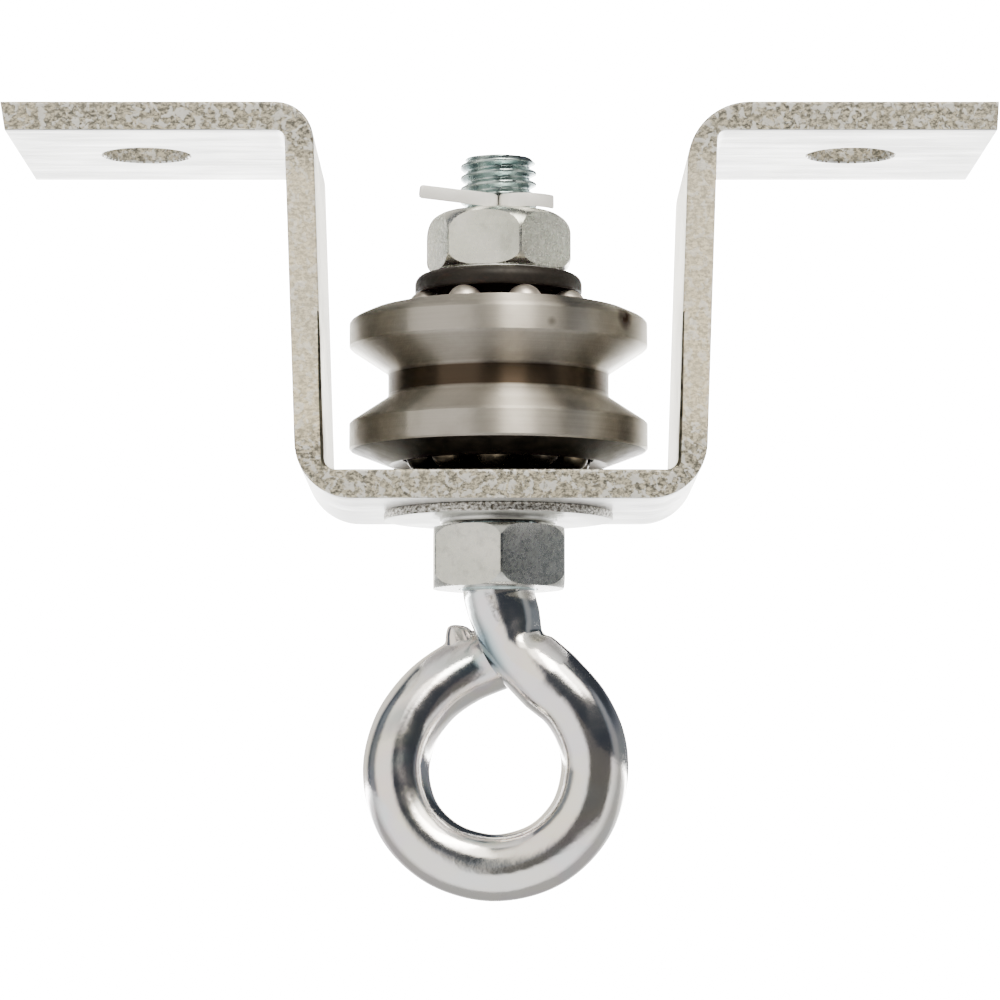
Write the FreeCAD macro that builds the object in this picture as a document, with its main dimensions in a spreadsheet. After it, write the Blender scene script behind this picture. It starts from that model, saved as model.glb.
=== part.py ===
# Swivel hanger: a bent strip bracket carries a grooved ball-bearing wheel, and an
# eye bolt hangs through the wheel on two rows of balls.
# Frame: origin at the centre of the mounting plane (top of the two flanges),
# +X along the bracket, +Z up, Y across the strip.  Millimetres.
import FreeCAD, Part
import math
import os

V = FreeCAD.Vector
os.makedirs("parts", exist_ok=True)
doc = FreeCAD.newDocument("SwivelHanger")

# ---------------------------------------------------------------- dimensions
sheet = doc.addObject("Spreadsheet::Sheet", "Dims")
VALUES = [
    # bracket
    ("end_left", 63.7), ("end_right", 64.0), ("strip_width", 38.0), ("strip_thick", 3.7),
    ("channel_left", 22.1), ("channel_right", 22.75), ("channel_depth", 47.25), ("arm_lean", 0.036),
    ("bend_left_top", 5.0), ("bend_right_top", 8.0), ("bend_in_top", 1.2), ("bend_out_base", 7.3), ("bend_in_base", 1.5),
    ("flange_hole_dia", 11.5), ("flange_hole_x", 46.52), ("base_hole_dia", 13.8),
    # wheel
    ("wheel_mid", -34.4), ("wheel_radius", 19.6), ("wheel_half", 10.5),
    ("rim_low", 4.75), ("rim_high", 8.4), ("neck_radius", 14.5), ("neck_half", 1.6),
    ("wheel_bore", 5.6), ("lip_radius", 12.95), ("mouth_top", 12.56), ("mouth_base", 14.1),
    ("cup_floor", 7.1), ("rim_break", 0.35),
    # ball rows
    ("ball_dia", 4.762), ("pitch_radius", 10.1), ("row_offset", 9.4), ("row_high", 9.8), ("race_radius", 2.43),
    ("cage_inner", 7.5), ("cage_outer", 11.7), ("cage_thick", 0.6), ("pocket_radius", 2.46),
    # cones
    ("cone_top", -19.7), ("cone_rim", 11.0), ("cone_hub", 7.2), ("bolt_fit", 5.1),
    ("seat_radius", 12.0), ("seat_thick", 0.95), ("spigot_radius", 6.8), ("collar_radius", 7.7),
    ("collar_low", -52.65),
    # bolt and its fasteners
    ("thread_major", 5.0), ("thread_depth", 0.85), ("thread_pitch", 1.5), ("bolt_top", -4.25),
    ("rod_radius", 4.5), ("rod_start", -61.0),
    ("nut_flats", 17.0), ("upper_nut_top", -11.55), ("upper_nut_thick", 7.8),
    ("lower_nut_top", -53.05), ("lower_nut_thick", 8.1), ("nut_bore", 5.02), ("nut_face", 8.15),
    ("upper_turn", 17.5), ("lower_turn", 2.0),
    ("upper_washer_radius", 8.6), ("upper_washer_thick", 0.35),
    ("base_washer_radius", 15.0), ("base_washer_bore", 6.9), ("base_washer_thick", 1.2),
    # split pin
    ("pin_radius", 0.9), ("pin_z", -10.6), ("pin_hole_dia", 2.2), ("pin_gap", 0.04),
    ("pin_front", -6.35), ("pin_back", 6.4),
]
D = {}
for i, (name, value) in enumerate(VALUES, start=1):
    sheet.set("A%d" % i, name)
    sheet.set("B%d" % i, "%.6g" % value)
    sheet.setAlias("B%d" % i, name)
    D[name] = float("%.6g" % value)
doc.recompute()


def val(expr):
    """A sheet formula's number, for placing geometry before the solver binds it."""
    total = 0.0
    for sign, factors in expr:
        p = sign
        for f in factors:
            p *= D[f] if isinstance(f, str) else f
        total += p
    return total


def formula(expr):
    words = []
    for sign, factors in expr:
        body = " * ".join(("Dims." + f) if isinstance(f, str) else ("%.9g" % f if f >= 0 else "(%.9g)" % f)
                          for f in factors) or "1"
        words.append(("+ " if sign > 0 else "- ") + body)
    text = " ".join(words)
    return text[2:] if text.startswith("+ ") else "0 " + text


def q(*terms):
    """q("a", -1.0, ("b", 2)) means a - 1 + b*2; a leading '-' on a name subtracts it."""
    out = []
    for t in terms:
        if isinstance(t, tuple):
            t = list(t)
            sign = 1
            if isinstance(t[0], str) and t[0].startswith("-"):
                sign, t[0] = -1, t[0][1:]
            out.append((sign, t))
        elif isinstance(t, str):
            out.append((-1, [t[1:]]) if t.startswith("-") else (1, [t]))
        else:
            out.append((1 if t >= 0 else -1, [abs(float(t))]))
    return out


def origin_plane(body, role):
    for f in body.Origin.OriginFeatures:
        if f.Role == role:
            return f
    raise RuntimeError(role)


def poly_sketch(body, name, role, points):
    """A closed polygon whose every corner is bound to the sheet."""
    sk = body.newObject("Sketcher::SketchObject", name)
    sk.AttachmentSupport = [(origin_plane(body, role), "")]
    sk.MapMode = "FlatFace"
    import Sketcher
    xy = [(val(a), val(b)) for a, b in points]
    n = len(xy)
    for i in range(n):
        (x1, y1), (x2, y2) = xy[i], xy[(i + 1) % n]
        sk.addGeometry(Part.LineSegment(V(x1, y1, 0), V(x2, y2, 0)), False)
    for i in range(n):
        sk.addConstraint(Sketcher.Constraint("Coincident", i, 2, (i + 1) % n, 1))
    for i, (a, b) in enumerate(points):
        for kind, e in (("DistanceX", a), ("DistanceY", b)):
            c = sk.addConstraint(Sketcher.Constraint(kind, -1, 1, i, 1, val(e)))
            sk.setExpression("Constraints[%d]" % c, formula(e))
    return sk


def circle_sketch(body, name, role, circles):
    """Circles (x, y, radius), all bound to the sheet."""
    sk = body.newObject("Sketcher::SketchObject", name)
    sk.AttachmentSupport = [(origin_plane(body, role), "")]
    sk.MapMode = "FlatFace"
    import Sketcher
    for i, (a, b, r) in enumerate(circles):
        sk.addGeometry(Part.Circle(V(val(a), val(b), 0), V(0, 0, 1), val(r)), False)
        for kind, e in (("DistanceX", a), ("DistanceY", b)):
            if abs(val(e)) < 1e-9:
                continue
            c = sk.addConstraint(Sketcher.Constraint(kind, -1, 1, i, 3, val(e)))
            sk.setExpression("Constraints[%d]" % c, formula(e))
        if abs(val(a)) < 1e-9:
            sk.addConstraint(Sketcher.Constraint("PointOnObject", i, 3, -2))
        if abs(val(b)) < 1e-9:
            sk.addConstraint(Sketcher.Constraint("PointOnObject", i, 3, -1))
        c = sk.addConstraint(Sketcher.Constraint("Radius", i, val(r)))
        sk.setExpression("Constraints[%d]" % c, formula(r))
    return sk


def spin(body, name, sketch, kind="PartDesign::Revolution"):
    """Revolve a half profile (or groove it away) about the vertical axis."""
    f = body.newObject(kind, name)
    f.Profile = sketch
    f.ReferenceAxis = (sketch, ["V_Axis"])
    f.Angle = 360.0
    before = body.Shape.Volume if kind.endswith("Groove") else 0.0
    doc.recompute()
    if kind.endswith("Groove") and not (0 < f.Shape.Volume < before - 1e-3):
        raise RuntimeError("%s cut nothing" % name)
    return f


def new_body(name):
    b = doc.addObject("PartDesign::Body", name)
    b.Label = name
    return b


def edges_at(feature, test):
    return ["Edge%d" % (i + 1) for i, e in enumerate(feature.Shape.Edges) if test(e)]


def dress(body, kind, name, base, test, prop, expr):
    f = body.newObject(kind, name)
    names = edges_at(base, test)
    if not names:
        raise RuntimeError("no edges for " + name)
    f.Base = (base, names)
    setattr(f, prop, val(expr))
    f.setExpression(prop, formula(expr))
    doc.recompute()
    return f


PARTS = []

# ---------------------------------------------------------------- bracket
# one strip, bent to a hat: flanges up against the beam, channel hanging down
bracket = new_body("bracket")
xt, xu, xb = {}, {}, {}
for side, half in ((-1, "channel_left"), (1, "channel_right")):
    xt[side] = q(half, ("channel_depth", "arm_lean"))                       # inner face at the mounting plane
    xu[side] = q(half, ("channel_depth", "arm_lean"), ("-strip_thick", "arm_lean"), "strip_thick")
    xb[side] = q(half, ("-strip_thick", "arm_lean"), "strip_thick")         # outer face at the underside
zb = q("-channel_depth")
zu = q("-channel_depth", "-strip_thick")


def neg(e):
    return [(-s, f) for s, f in e]


zero = q(0.0)
ft = q("-strip_thick")
# the left end was sheared a little out of square
profile = [
    (neg(q("end_left")), zero), (neg(xt[-1]), zero), (neg(q("channel_left")), zb), (q("channel_right"), zb),
    (xt[1], zero), (q("end_right"), zero), (q("end_right", -0.25), ft), (xu[1], ft), (xb[1], zu), (neg(xb[-1]), zu),
    (neg(xu[-1]), ft), (neg(q("end_left", -0.6)), ft),
]
sk = poly_sketch(bracket, "strip_profile", "XZ_Plane", profile)
pad = bracket.newObject("PartDesign::Pad", "strip")
pad.Profile = sk
pad.Type = 0
pad.SideType = "Symmetric"
pad.Length = D["strip_width"]
pad.setExpression("Length", "Dims.strip_width")
doc.recompute()


def across(*spots):
    """Edges across the strip that pass through one of the given (x, z) corners."""
    def test(e):
        b = e.BoundBox
        return (b.YLength > D["strip_width"] * 0.9 and b.XLength < 1e-3 and b.ZLength < 1e-3
                and any(abs(b.XMin - x) < 0.05 and abs(b.ZMin - z) < 0.05 for x, z in spots))
    return test


zf = val(ft)
f0 = dress(bracket, "PartDesign::Fillet", "bend_left_outer", pad, across((-val(xt[-1]), 0.0)), "Radius", q("bend_left_top"))
f1 = dress(bracket, "PartDesign::Fillet", "bend_right_outer", f0, across((val(xt[1]), 0.0)), "Radius", q("bend_right_top"))
f2 = dress(bracket, "PartDesign::Fillet", "bend_top_inner", f1, across((-val(xu[-1]), zf), (val(xu[1]), zf)), "Radius", q("bend_in_top"))
f3 = dress(bracket, "PartDesign::Fillet", "bend_base_outer", f2, across((-val(xb[-1]), val(zu)), (val(xb[1]), val(zu))), "Radius", q("bend_out_base"))
f4 = dress(bracket, "PartDesign::Fillet", "bend_base_inner", f3, across((-D["channel_left"], val(zb)), (D["channel_right"], val(zb))), "Radius", q("bend_in_base"))
holes = circle_sketch(bracket, "hole_circles", "XY_Plane", [
    (q("flange_hole_x"), zero, q(("flange_hole_dia", 0.5))),
    (q("-flange_hole_x"), zero, q(("flange_hole_dia", 0.5))),
    (zero, zero, q(("base_hole_dia", 0.5)))])
cut = bracket.newObject("PartDesign::Pocket", "drilled_holes")
cut.Profile = holes
cut.Type = 1
cut.Reversed = False
before = f4.Shape.Volume
doc.recompute()
if cut.Shape.isNull() or cut.Shape.Volume > before - 100:
    cut.Reversed = True
    doc.recompute()
want = before - math.pi / 4 * D["strip_thick"] * (2 * D["flange_hole_dia"] ** 2 + D["base_hole_dia"] ** 2)
if abs(cut.Shape.Volume - want) > 2.0:
    raise RuntimeError("bracket holes: %.2f wanted %.2f" % (cut.Shape.Volume, want))
# the cut ends and the sheared edges of the strip are slightly broken
ends = dress(bracket, "PartDesign::Chamfer", "broken_ends", cut,
             lambda e: e.BoundBox.YLength > 37 and abs(e.BoundBox.XMin) > 62.5
             and e.BoundBox.XLength < 1e-3, "Size", q(0.4))
PARTS.append(bracket)

# ---------------------------------------------------------------- wheel
# a turned ring with a V groove round it and a ball cup sunk in each end
wheel = new_body("grooved_wheel")


def wz(*t):
    return q("wheel_mid", *t)


R = "wheel_radius"
pts = [
    (q("wheel_bore"), wz("cup_floor")), (q("pitch_radius"), wz("cup_floor")),
    (q("mouth_top"), wz("row_high")), (q("mouth_top"), wz("wheel_half")),
    (q("lip_radius"), wz("wheel_half")), (q(14.7), wz("wheel_half", -0.18)), (q(16.7), wz("wheel_half", -0.66)),
    (q(R, -0.75), wz("rim_high", 0.5)), (q(R, -0.2), wz("rim_high", 0.12)), (q(R), wz("rim_high", -0.25)),
    (q(R), wz("rim_low", "rim_break")), (q(R, "-rim_break"), wz("rim_low")),
    (q("neck_radius"), wz("neck_half")), (q("neck_radius"), wz("-neck_half")),
    (q(R, "-rim_break"), wz("-rim_low")), (q(R), wz("-rim_low", "-rim_break")),
    (q(R), wz("-rim_high", 0.0)), (q(R, -0.3), wz("-rim_high", -0.2)),
    (q("mouth_base", 0.45), wz("-wheel_half")), (q("mouth_base"), wz("-wheel_half")),
    (q("mouth_top"), wz("-row_offset", -0.3)), (q("mouth_top"), wz("-row_offset")),
    (q("pitch_radius"), wz("-cup_floor")), (q("wheel_bore"), wz("-cup_floor")),
]
sk = poly_sketch(wheel, "wheel_profile", "XZ_Plane", pts)
rev = spin(wheel, "turned_ring", sk)
for nm, row in (("upper_race", "row_high"), ("lower_race", "-row_offset")):
    c = circle_sketch(wheel, nm + "_circle", "XZ_Plane", [(q("pitch_radius"), wz(row), q("race_radius"))])
    spin(wheel, nm, c, "PartDesign::Groove")
last = wheel.Tip
fil = dress(wheel, "PartDesign::Fillet", "neck_corners", last,
            lambda e: abs(e.BoundBox.XLength - 2 * D["neck_radius"]) < 1e-3 and e.BoundBox.ZLength < 1e-3
            and abs(abs(e.BoundBox.ZMin - D["wheel_mid"]) - D["neck_half"]) < 1e-3, "Radius", q(0.8))
PARTS.append(wheel)

# ---------------------------------------------------------------- upper cone
# a dished disc with a hub: its shoulder is the inner race of the upper balls
uc = new_body("upper_cone")
pts = [
    (q("bolt_fit"), q("cone_top")), (q("cone_rim", -1.5), q("cone_top")), (q("cone_rim", -0.75), q("cone_top", -0.2)),
    (q("cone_rim", -0.2), q("cone_top", -0.75)), (q("cone_rim"), q("cone_top", -1.5)),
    (q("cone_rim"), q("cone_top", -2.35)), (q("cone_rim", -0.35), q("cone_top", -2.65)),
    (q("pitch_radius"), q("cone_top", -2.65)),
    (q("pitch_radius", -2.5), wz("row_high", 0.3)), (q("cone_hub"), wz("row_high", -0.4)),
    (q("cone_hub"), wz("cup_floor", 0.6)), (q("cone_hub", -0.3), wz("cup_floor", 0.3)),
    (q("bolt_fit"), wz("cup_floor", 0.3)),
]
spin(uc, "turned_cone", poly_sketch(uc, "cone_profile", "XZ_Plane", pts))
spin(uc, "cone_race", circle_sketch(uc, "race_circle", "XZ_Plane",
     [(q("pitch_radius"), wz("row_high"), q("race_radius"))]), "PartDesign::Groove")
PARTS.append(uc)

# ---------------------------------------------------------------- lower cone
# sits on the channel floor; its spigot goes through the base and is swaged over the base washer
lc = new_body("lower_cone")
floor = q("-channel_depth")
pts = [
    (q("wheel_bore"), q("collar_low")), (q("collar_radius", -0.3), q("collar_low")),
    (q("collar_radius"), q("-channel_depth", "-strip_thick", "-base_washer_thick", -0.15)),
    (q("collar_radius"), q("-channel_depth", "-strip_thick", "-base_washer_thick")),
    (q("spigot_radius"), q("-channel_depth", "-strip_thick", "-base_washer_thick")),
    (q("spigot_radius"), floor), (q("seat_radius"), floor), (q("seat_radius"), q("-channel_depth", "seat_thick", -0.2)),
    (q("seat_radius", -0.2), q("-channel_depth", "seat_thick")),
    (q("pitch_radius"), q("-channel_depth", "seat_thick")),
    (q("pitch_radius", -2.5), wz("-row_offset", -0.3)), (q("cone_hub"), wz("-row_offset", 0.4)),
    (q("cone_hub"), wz("-cup_floor", -0.6)), (q("cone_hub", -0.3), wz("-cup_floor", -0.3)),
    (q("wheel_bore"), wz("-cup_floor", -0.3)),
]
spin(lc, "turned_seat", poly_sketch(lc, "seat_profile", "XZ_Plane", pts))
spin(lc, "seat_race", circle_sketch(lc, "race_circle_low", "XZ_Plane",
     [(q("pitch_radius"), wz("-row_offset"), q("race_radius"))]), "PartDesign::Groove")
PARTS.append(lc)


# ---------------------------------------------------------------- nuts
def hex_nut(name, top, thick, turn_key, extra=0.0):
    b = new_body(name)
    across_corners = 2.0 / math.sqrt(3.0)
    pts = []
    for i in range(6):
        # corners counted from -Y towards +X
        a = math.radians(D[turn_key] + 60.0 * i)
        pts.append((q(("nut_flats", 0.5 * across_corners * math.sin(a))),
                    q(("nut_flats", -0.5 * across_corners * math.cos(a)))))
    sk = poly_sketch(b, name + "_hexagon", "XY_Plane", pts)
    pad = b.newObject("PartDesign::Pad", name + "_blank")
    pad.Profile = sk
    pad.SideType = "Two sides"
    # from the sketch plane both ways would add stock above, so the blank is padded down and trimmed
    pad.Reversed = True
    pad.SideType = "One side"
    pad.Length = -(val(q(top)) - D[thick])
    pad.setExpression("Length", "-(Dims.%s - Dims.%s)" % (top, thick))
    doc.recompute()
    big = q(("nut_flats", 0.7))
    # trim the stock above the nut, and turn the 30 degree chamfers at both ends
    crest = 0.62
    up = [(q(0.0), q(top)), (q("nut_face"), q(top)), (big, q(top, ("-nut_flats", 0.7 * 0.5774), ("nut_face", 0.5774))),
          (big, q(1.0)), (q(0.0), q(1.0))]
    low = [(q("nut_face"), q(top, "-" + thick)), (big, q(top, "-" + thick, ("nut_flats", 0.7 * 0.5774), ("-nut_face", 0.5774))),
           (big, q(top, "-" + thick, -1.0)), (q("nut_face"), q(top, "-" + thick, -1.0))]
    spin(b, name + "_top_chamfer", poly_sketch(b, name + "_top_profile", "XZ_Plane", up), "PartDesign::Groove")
    spin(b, name + "_low_chamfer", poly_sketch(b, name + "_low_profile", "XZ_Plane", low), "PartDesign::Groove")
    # threaded bore at its major size, countersunk at both faces
    bore = [(q(0.0), q(top, 0.5)), (q("nut_bore", 0.9), q(top, 0.5)), (q("nut_bore", 0.4), q(top)), (q("nut_bore"), q(top, -0.4)),
            (q("nut_bore"), q(top, "-" + thick, 0.4)), (q("nut_bore", 0.4), q(top, "-" + thick)),
            (q("nut_bore", 0.9), q(top, "-" + thick, -0.5)), (q(0.0), q(top, "-" + thick, -0.5))]
    spin(b, name + "_bore", poly_sketch(b, name + "_bore_profile", "XZ_Plane", bore), "PartDesign::Groove")
    PARTS.append(b)
    return b


hex_nut("upper_nut", "upper_nut_top", "upper_nut_thick", "upper_turn")
hex_nut("lower_nut", "lower_nut_top", "lower_nut_thick", "lower_turn")


# ---------------------------------------------------------------- washers
def washer(name, outer, bore, top, thick, edge):
    b = new_body(name)
    low = top + q(("-" + thick, 1.0))
    pts = [(bore, low), (outer + q(-edge), low), (outer, low + q(edge)), (outer, top + q(-edge)),
           (outer + q(-edge), top), (bore, top)]
    spin(b, name + "_ring", poly_sketch(b, name + "_profile", "XZ_Plane", pts))
    PARTS.append(b)
    return b


washer("upper_washer", q("upper_washer_radius"), q("bolt_fit"), q("cone_top", "upper_washer_thick"), "upper_washer_thick", 0.1)
washer("base_washer", q("base_washer_radius"), q("base_washer_bore"), q("-channel_depth", "-strip_thick"),
       "base_washer_thick", 0.2)


# ---------------------------------------------------------------- balls and their cages
def ball_row(prefix, count, phase, z_expr):
    for i in range(count):
        a = math.radians(phase + 360.0 * i / count)
        s = doc.addObject("Part::Sphere", "%s_%d" % (prefix, i + 1))
        s.Label = "%s_%d" % (prefix, i + 1)
        s.setExpression("Radius", "Dims.ball_dia / 2")
        s.setExpression(".Placement.Base.x", "Dims.pitch_radius * %.9f" % math.sin(a))
        s.setExpression(".Placement.Base.y", "Dims.pitch_radius * %.9f" % -math.cos(a))
        s.setExpression(".Placement.Base.z", formula(z_expr))
        PARTS.append(s)


def cage(name, count, phase, z_ball, z_low):
    """A thin ring beside the balls' widest circle, with a pocket for each, open to the outside."""
    ring = doc.addObject("Part::Cylinder", name + "_disc")
    ring.setExpression("Radius", "Dims.cage_outer")
    ring.setExpression("Height", "Dims.cage_thick")
    ring.setExpression(".Placement.Base.z", formula(z_low))
    hole = doc.addObject("Part::Cylinder", name + "_eye")
    hole.setExpression("Radius", "Dims.cage_inner")
    hole.Height = 4.0
    hole.setExpression(".Placement.Base.z", formula(z_low + q(-1.0)))
    tools = [hole]
    for i in range(count):
        a = math.radians(phase + 360.0 * i / count)
        s = doc.addObject("Part::Sphere", "%s_pocket_%d" % (name, i + 1))
        s.setExpression("Radius", "Dims.pocket_radius")
        s.setExpression(".Placement.Base.x", "Dims.pitch_radius * %.9f" % math.sin(a))
        s.setExpression(".Placement.Base.y", "Dims.pitch_radius * %.9f" % -math.cos(a))
        s.setExpression(".Placement.Base.z", formula(z_ball))
        tools.append(s)
    fuse = doc.addObject("Part::MultiFuse", name + "_tools")
    fuse.Shapes = tools
    c = doc.addObject("Part::Cut", name)
    c.Label = name
    c.Base = ring
    c.Tool = fuse
    PARTS.append(c)


UP, LOW = -25.5, -3.0
ball_row("upper_ball", 8, UP, wz("row_high"))
ball_row("lower_ball", 10, LOW, wz("-row_offset"))
cage("upper_cage", 8, UP, wz("row_high"), wz("row_high", -1.7))
cage("lower_cage", 10, LOW, wz("-row_offset"), wz("-row_offset", 1.1))


# ---------------------------------------------------------------- eye bolt
# threaded shank (ring grooves at the thread's pitch where the thread shows), then the plain
# rod, bent to the right and once round into a closed eye whose tail lies behind the shank
shank = doc.addObject("PartDesign::Body", "shank")
mj, mn = D["thread_major"], D["thread_major"] - D["thread_depth"]
pts = [(q(0.0), q("bolt_top")), (q("thread_major", -1.0), q("bolt_top")), (q("thread_major", -0.25), q("bolt_top", -0.6))]
TURNS = 4
for k in range(TURNS):
    pts += [
        (q("thread_major"), q("bolt_top", -0.85, ("-thread_pitch", k + 0.0))),
        (q("thread_major"), q("bolt_top", -0.85, ("-thread_pitch", k + 0.125))),
        (q("thread_major", "-thread_depth"), q("bolt_top", -0.85, ("-thread_pitch", k + 0.50))),
        (q("thread_major", "-thread_depth"), q("bolt_top", -0.85, ("-thread_pitch", k + 0.62))),
    ]
pts += [
    (q("thread_major"), q("bolt_top", -0.85, ("-thread_pitch", float(TURNS)))),
    (q("thread_major"), q("rod_start")),
    (q("rod_radius", 0.15), q("rod_start", -0.45)),
    (q(0.0), q("rod_start", -0.45)),
]
spin(shank, "threaded_shank", poly_sketch(shank, "shank_profile", "XZ_Plane", pts))

# centre line of the bent rod
ROUTE = [
    (0.0, 0.0, -59.2), (0.0, 0.0, -61.0), (0.22, -0.05, -62.8), (0.75, -0.22, -65.2), (1.6, -0.55, -67.4), (3.35, -1.15, -69.95),
    (6.85, -2.05, -73.3), (10.1, -2.5, -76.9), (12.1, -2.4, -81.27), (12.35, -2.0, -85.83), (10.6, -1.5, -91.25), (6.1, -0.8, -95.7),
    (-0.46, 0.0, -97.4), (-7.0, 0.8, -95.7), (-11.6, 1.6, -91.35), (-13.35, 2.5, -85.13), (-12.2, 3.6, -79.5),
    (-9.0, 4.9, -74.85), (-4.8, 6.2, -71.7), (0.4, 7.3, -69.4),
]
curve = Part.BSplineCurve()
curve.interpolate([V(*p) for p in ROUTE])
path = doc.addObject("Part::Feature", "rod_path")
path.Shape = Part.Wire([curve.toShape()])
section = doc.addObject("Part::Circle", "rod_section")
section.setExpression("Radius", "Dims.rod_radius")
section.Placement = FreeCAD.Placement(V(*ROUTE[0]), FreeCAD.Rotation())
rod = doc.addObject("Part::Sweep", "bent_rod")
rod.Sections = [section]
rod.Spine = (path, ["Edge1"])
rod.Solid = True
rod.Frenet = False
doc.recompute()
length = path.Shape.Length
area = math.pi * D["rod_radius"] ** 2
print("eye rod length %.2f volume %.1f section x length %.1f" % (length, rod.Shape.Volume, area * length))
if abs(rod.Shape.Volume - area * length) > 0.02 * area * length:
    raise RuntimeError("eye rod sweep")

# the sheared end of the rod leaves a small lip standing up beside the shank
lip = doc.addObject("Part::Box", "sheared_lip")
lip.Length, lip.Width, lip.Height = 3.4, 5.0, 4.6
lip.Placement = FreeCAD.Placement(V(-6.5, 3.9, -70.1), FreeCAD.Rotation(V(0, 1, 0), 6.0))
lipf = doc.addObject("Part::Fillet", "lip_rounded")
lipf.Base = lip
doc.recompute()
lipf.Edges = [(i + 1, 0.8, 0.8) for i in range(len(lip.Shape.Edges))]
joined = doc.addObject("Part::MultiFuse", "bolt_blank")
joined.Shapes = [shank, rod, lipf]
drill = doc.addObject("Part::Cylinder", "pin_drill")
drill.setExpression("Radius", "Dims.pin_hole_dia / 2")
drill.Height = 20.0
drill.Placement = FreeCAD.Placement(V(0, 10, 0), FreeCAD.Rotation(V(1, 0, 0), 90))
drill.setExpression(".Placement.Base.z", "Dims.pin_z")
bolt = doc.addObject("Part::Cut", "eye_bolt")
bolt.Label = "eye_bolt"
bolt.Base = joined
bolt.Tool = drill
PARTS.append(bolt)


# ---------------------------------------------------------------- split pin
def rounded_wire(points, radii):
    """Straight runs joined by tangent arcs."""
    pts = [V(*p) for p in points]
    edges = []
    start = pts[0]
    for i in range(1, len(pts) - 1):
        a, b, c = pts[i - 1], pts[i], pts[i + 1]
        u = (a - b).normalize()
        w = (c - b).normalize()
        ang = math.acos(max(-1, min(1, u.dot(w))))
        cut_len = radii[i - 1] / math.tan(ang / 2)
        p1 = b + u * cut_len
        p2 = b + w * cut_len
        centre = b + (u + w).normalize() * (radii[i - 1] / math.sin(ang / 2))
        mid = centre + (b - centre).normalize() * radii[i - 1]
        edges.append(Part.LineSegment(start, p1).toShape())
        edges.append(Part.Arc(p1, mid, p2).toShape())
        start = p2
    edges.append(Part.LineSegment(start, pts[-1]).toShape())
    return Part.Wire(edges)


def leg(name, side, points, radii):
    """Half-round leg: the flat faces its partner inside the hole."""
    x0 = side * D["pin_gap"] / 2
    z0 = D["pin_z"]
    y0 = points[0][1]
    wire = doc.addObject("Part::Feature", name + "_path")
    wire.Shape = rounded_wire([(p[0] + x0, p[1], p[2]) for p in points], radii)
    r = D["pin_radius"]
    prof = doc.addObject("Part::Feature", name + "_section")
    arc = Part.Arc(V(x0, y0, z0 + r), V(x0 + side * r, y0, z0), V(x0, y0, z0 - r)).toShape()
    prof.Shape = Part.Wire([arc, Part.LineSegment(V(x0, y0, z0 - r), V(x0, y0, z0 + r)).toShape()])
    s = doc.addObject("Part::Sweep", name)
    s.Sections = [prof]
    s.Spine = (wire, ["Edge%d" % (i + 1) for i in range(len(wire.Shape.Edges))])
    s.Solid = True
    s.Frenet = False
    s.Transition = "Right corner"
    return s


pz = D["pin_z"]
left = leg("pin_leg_left", -1, [(0, D["pin_back"] + 0.6, pz), (0, D["pin_front"], pz), (-10.1, -8.7, pz + 0.65)], [0.9])
right = leg("pin_leg_right", 1, [(0, D["pin_back"] + 0.6, pz), (0, D["pin_front"], pz), (4.6, -6.9, pz),
                               (7.1, -3.6, pz + 0.1)], [0.9, 1.6])
loop = doc.addObject("Part::Torus", "pin_loop")
loop.Radius1 = 1.55
loop.setExpression("Radius2", "Dims.pin_radius * 0.86")
loop.Placement = FreeCAD.Placement(V(0, D["pin_back"] + 1.6, pz), FreeCAD.Rotation())
pin = doc.addObject("Part::MultiFuse", "split_pin")
pin.Label = "split_pin"
pin.Shapes = [left, right, loop]
PARTS.append(pin)

# ---------------------------------------------------------------- check and write
doc.recompute()
bad = []
for o in doc.Objects:
    if "Invalid" in o.State or "Error" in o.State:
        bad.append("%s state %s" % (o.Name, o.State))
for o in PARTS:
    s = o.Shape
    if s.isNull() or not s.isValid() or not s.Solids:
        bad.append("%s: null, invalid or empty shape" % o.Label)
if bad:
    raise RuntimeError("; ".join(bad))
for o in PARTS:
    s = o.Shape
    bb = s.BoundBox
    print("%-16s solids %d vol %9.2f  x %.2f..%.2f y %.2f..%.2f z %.2f..%.2f" % (
        o.Label, len(s.Solids), s.Volume, bb.XMin, bb.XMax, bb.YMin, bb.YMax, bb.ZMin, bb.ZMax))
    s.exportStep("parts/%s.step" % o.Label)
print("parts", len(PARTS))
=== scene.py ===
# Looks of the swivel hanger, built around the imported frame. Metres, same frame as the CAD.
import bpy
import bmesh
import math
from mathutils import Vector, Matrix, noise


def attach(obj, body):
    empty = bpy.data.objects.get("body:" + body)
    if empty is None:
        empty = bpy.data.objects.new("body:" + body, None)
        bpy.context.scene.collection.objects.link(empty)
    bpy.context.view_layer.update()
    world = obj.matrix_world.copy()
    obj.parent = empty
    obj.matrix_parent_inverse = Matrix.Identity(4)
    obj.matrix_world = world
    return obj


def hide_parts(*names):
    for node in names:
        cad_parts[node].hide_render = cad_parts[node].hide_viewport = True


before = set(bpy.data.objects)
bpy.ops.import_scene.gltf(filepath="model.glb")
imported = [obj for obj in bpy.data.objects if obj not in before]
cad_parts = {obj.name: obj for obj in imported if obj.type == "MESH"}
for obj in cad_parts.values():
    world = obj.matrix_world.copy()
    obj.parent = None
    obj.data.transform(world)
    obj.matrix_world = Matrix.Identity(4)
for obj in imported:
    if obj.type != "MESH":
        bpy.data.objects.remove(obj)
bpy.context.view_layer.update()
MM = 0.001


# ------------------------------------------------------------------ mesh helpers
def link(obj):
    bpy.context.scene.collection.objects.link(obj)
    return obj


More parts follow.
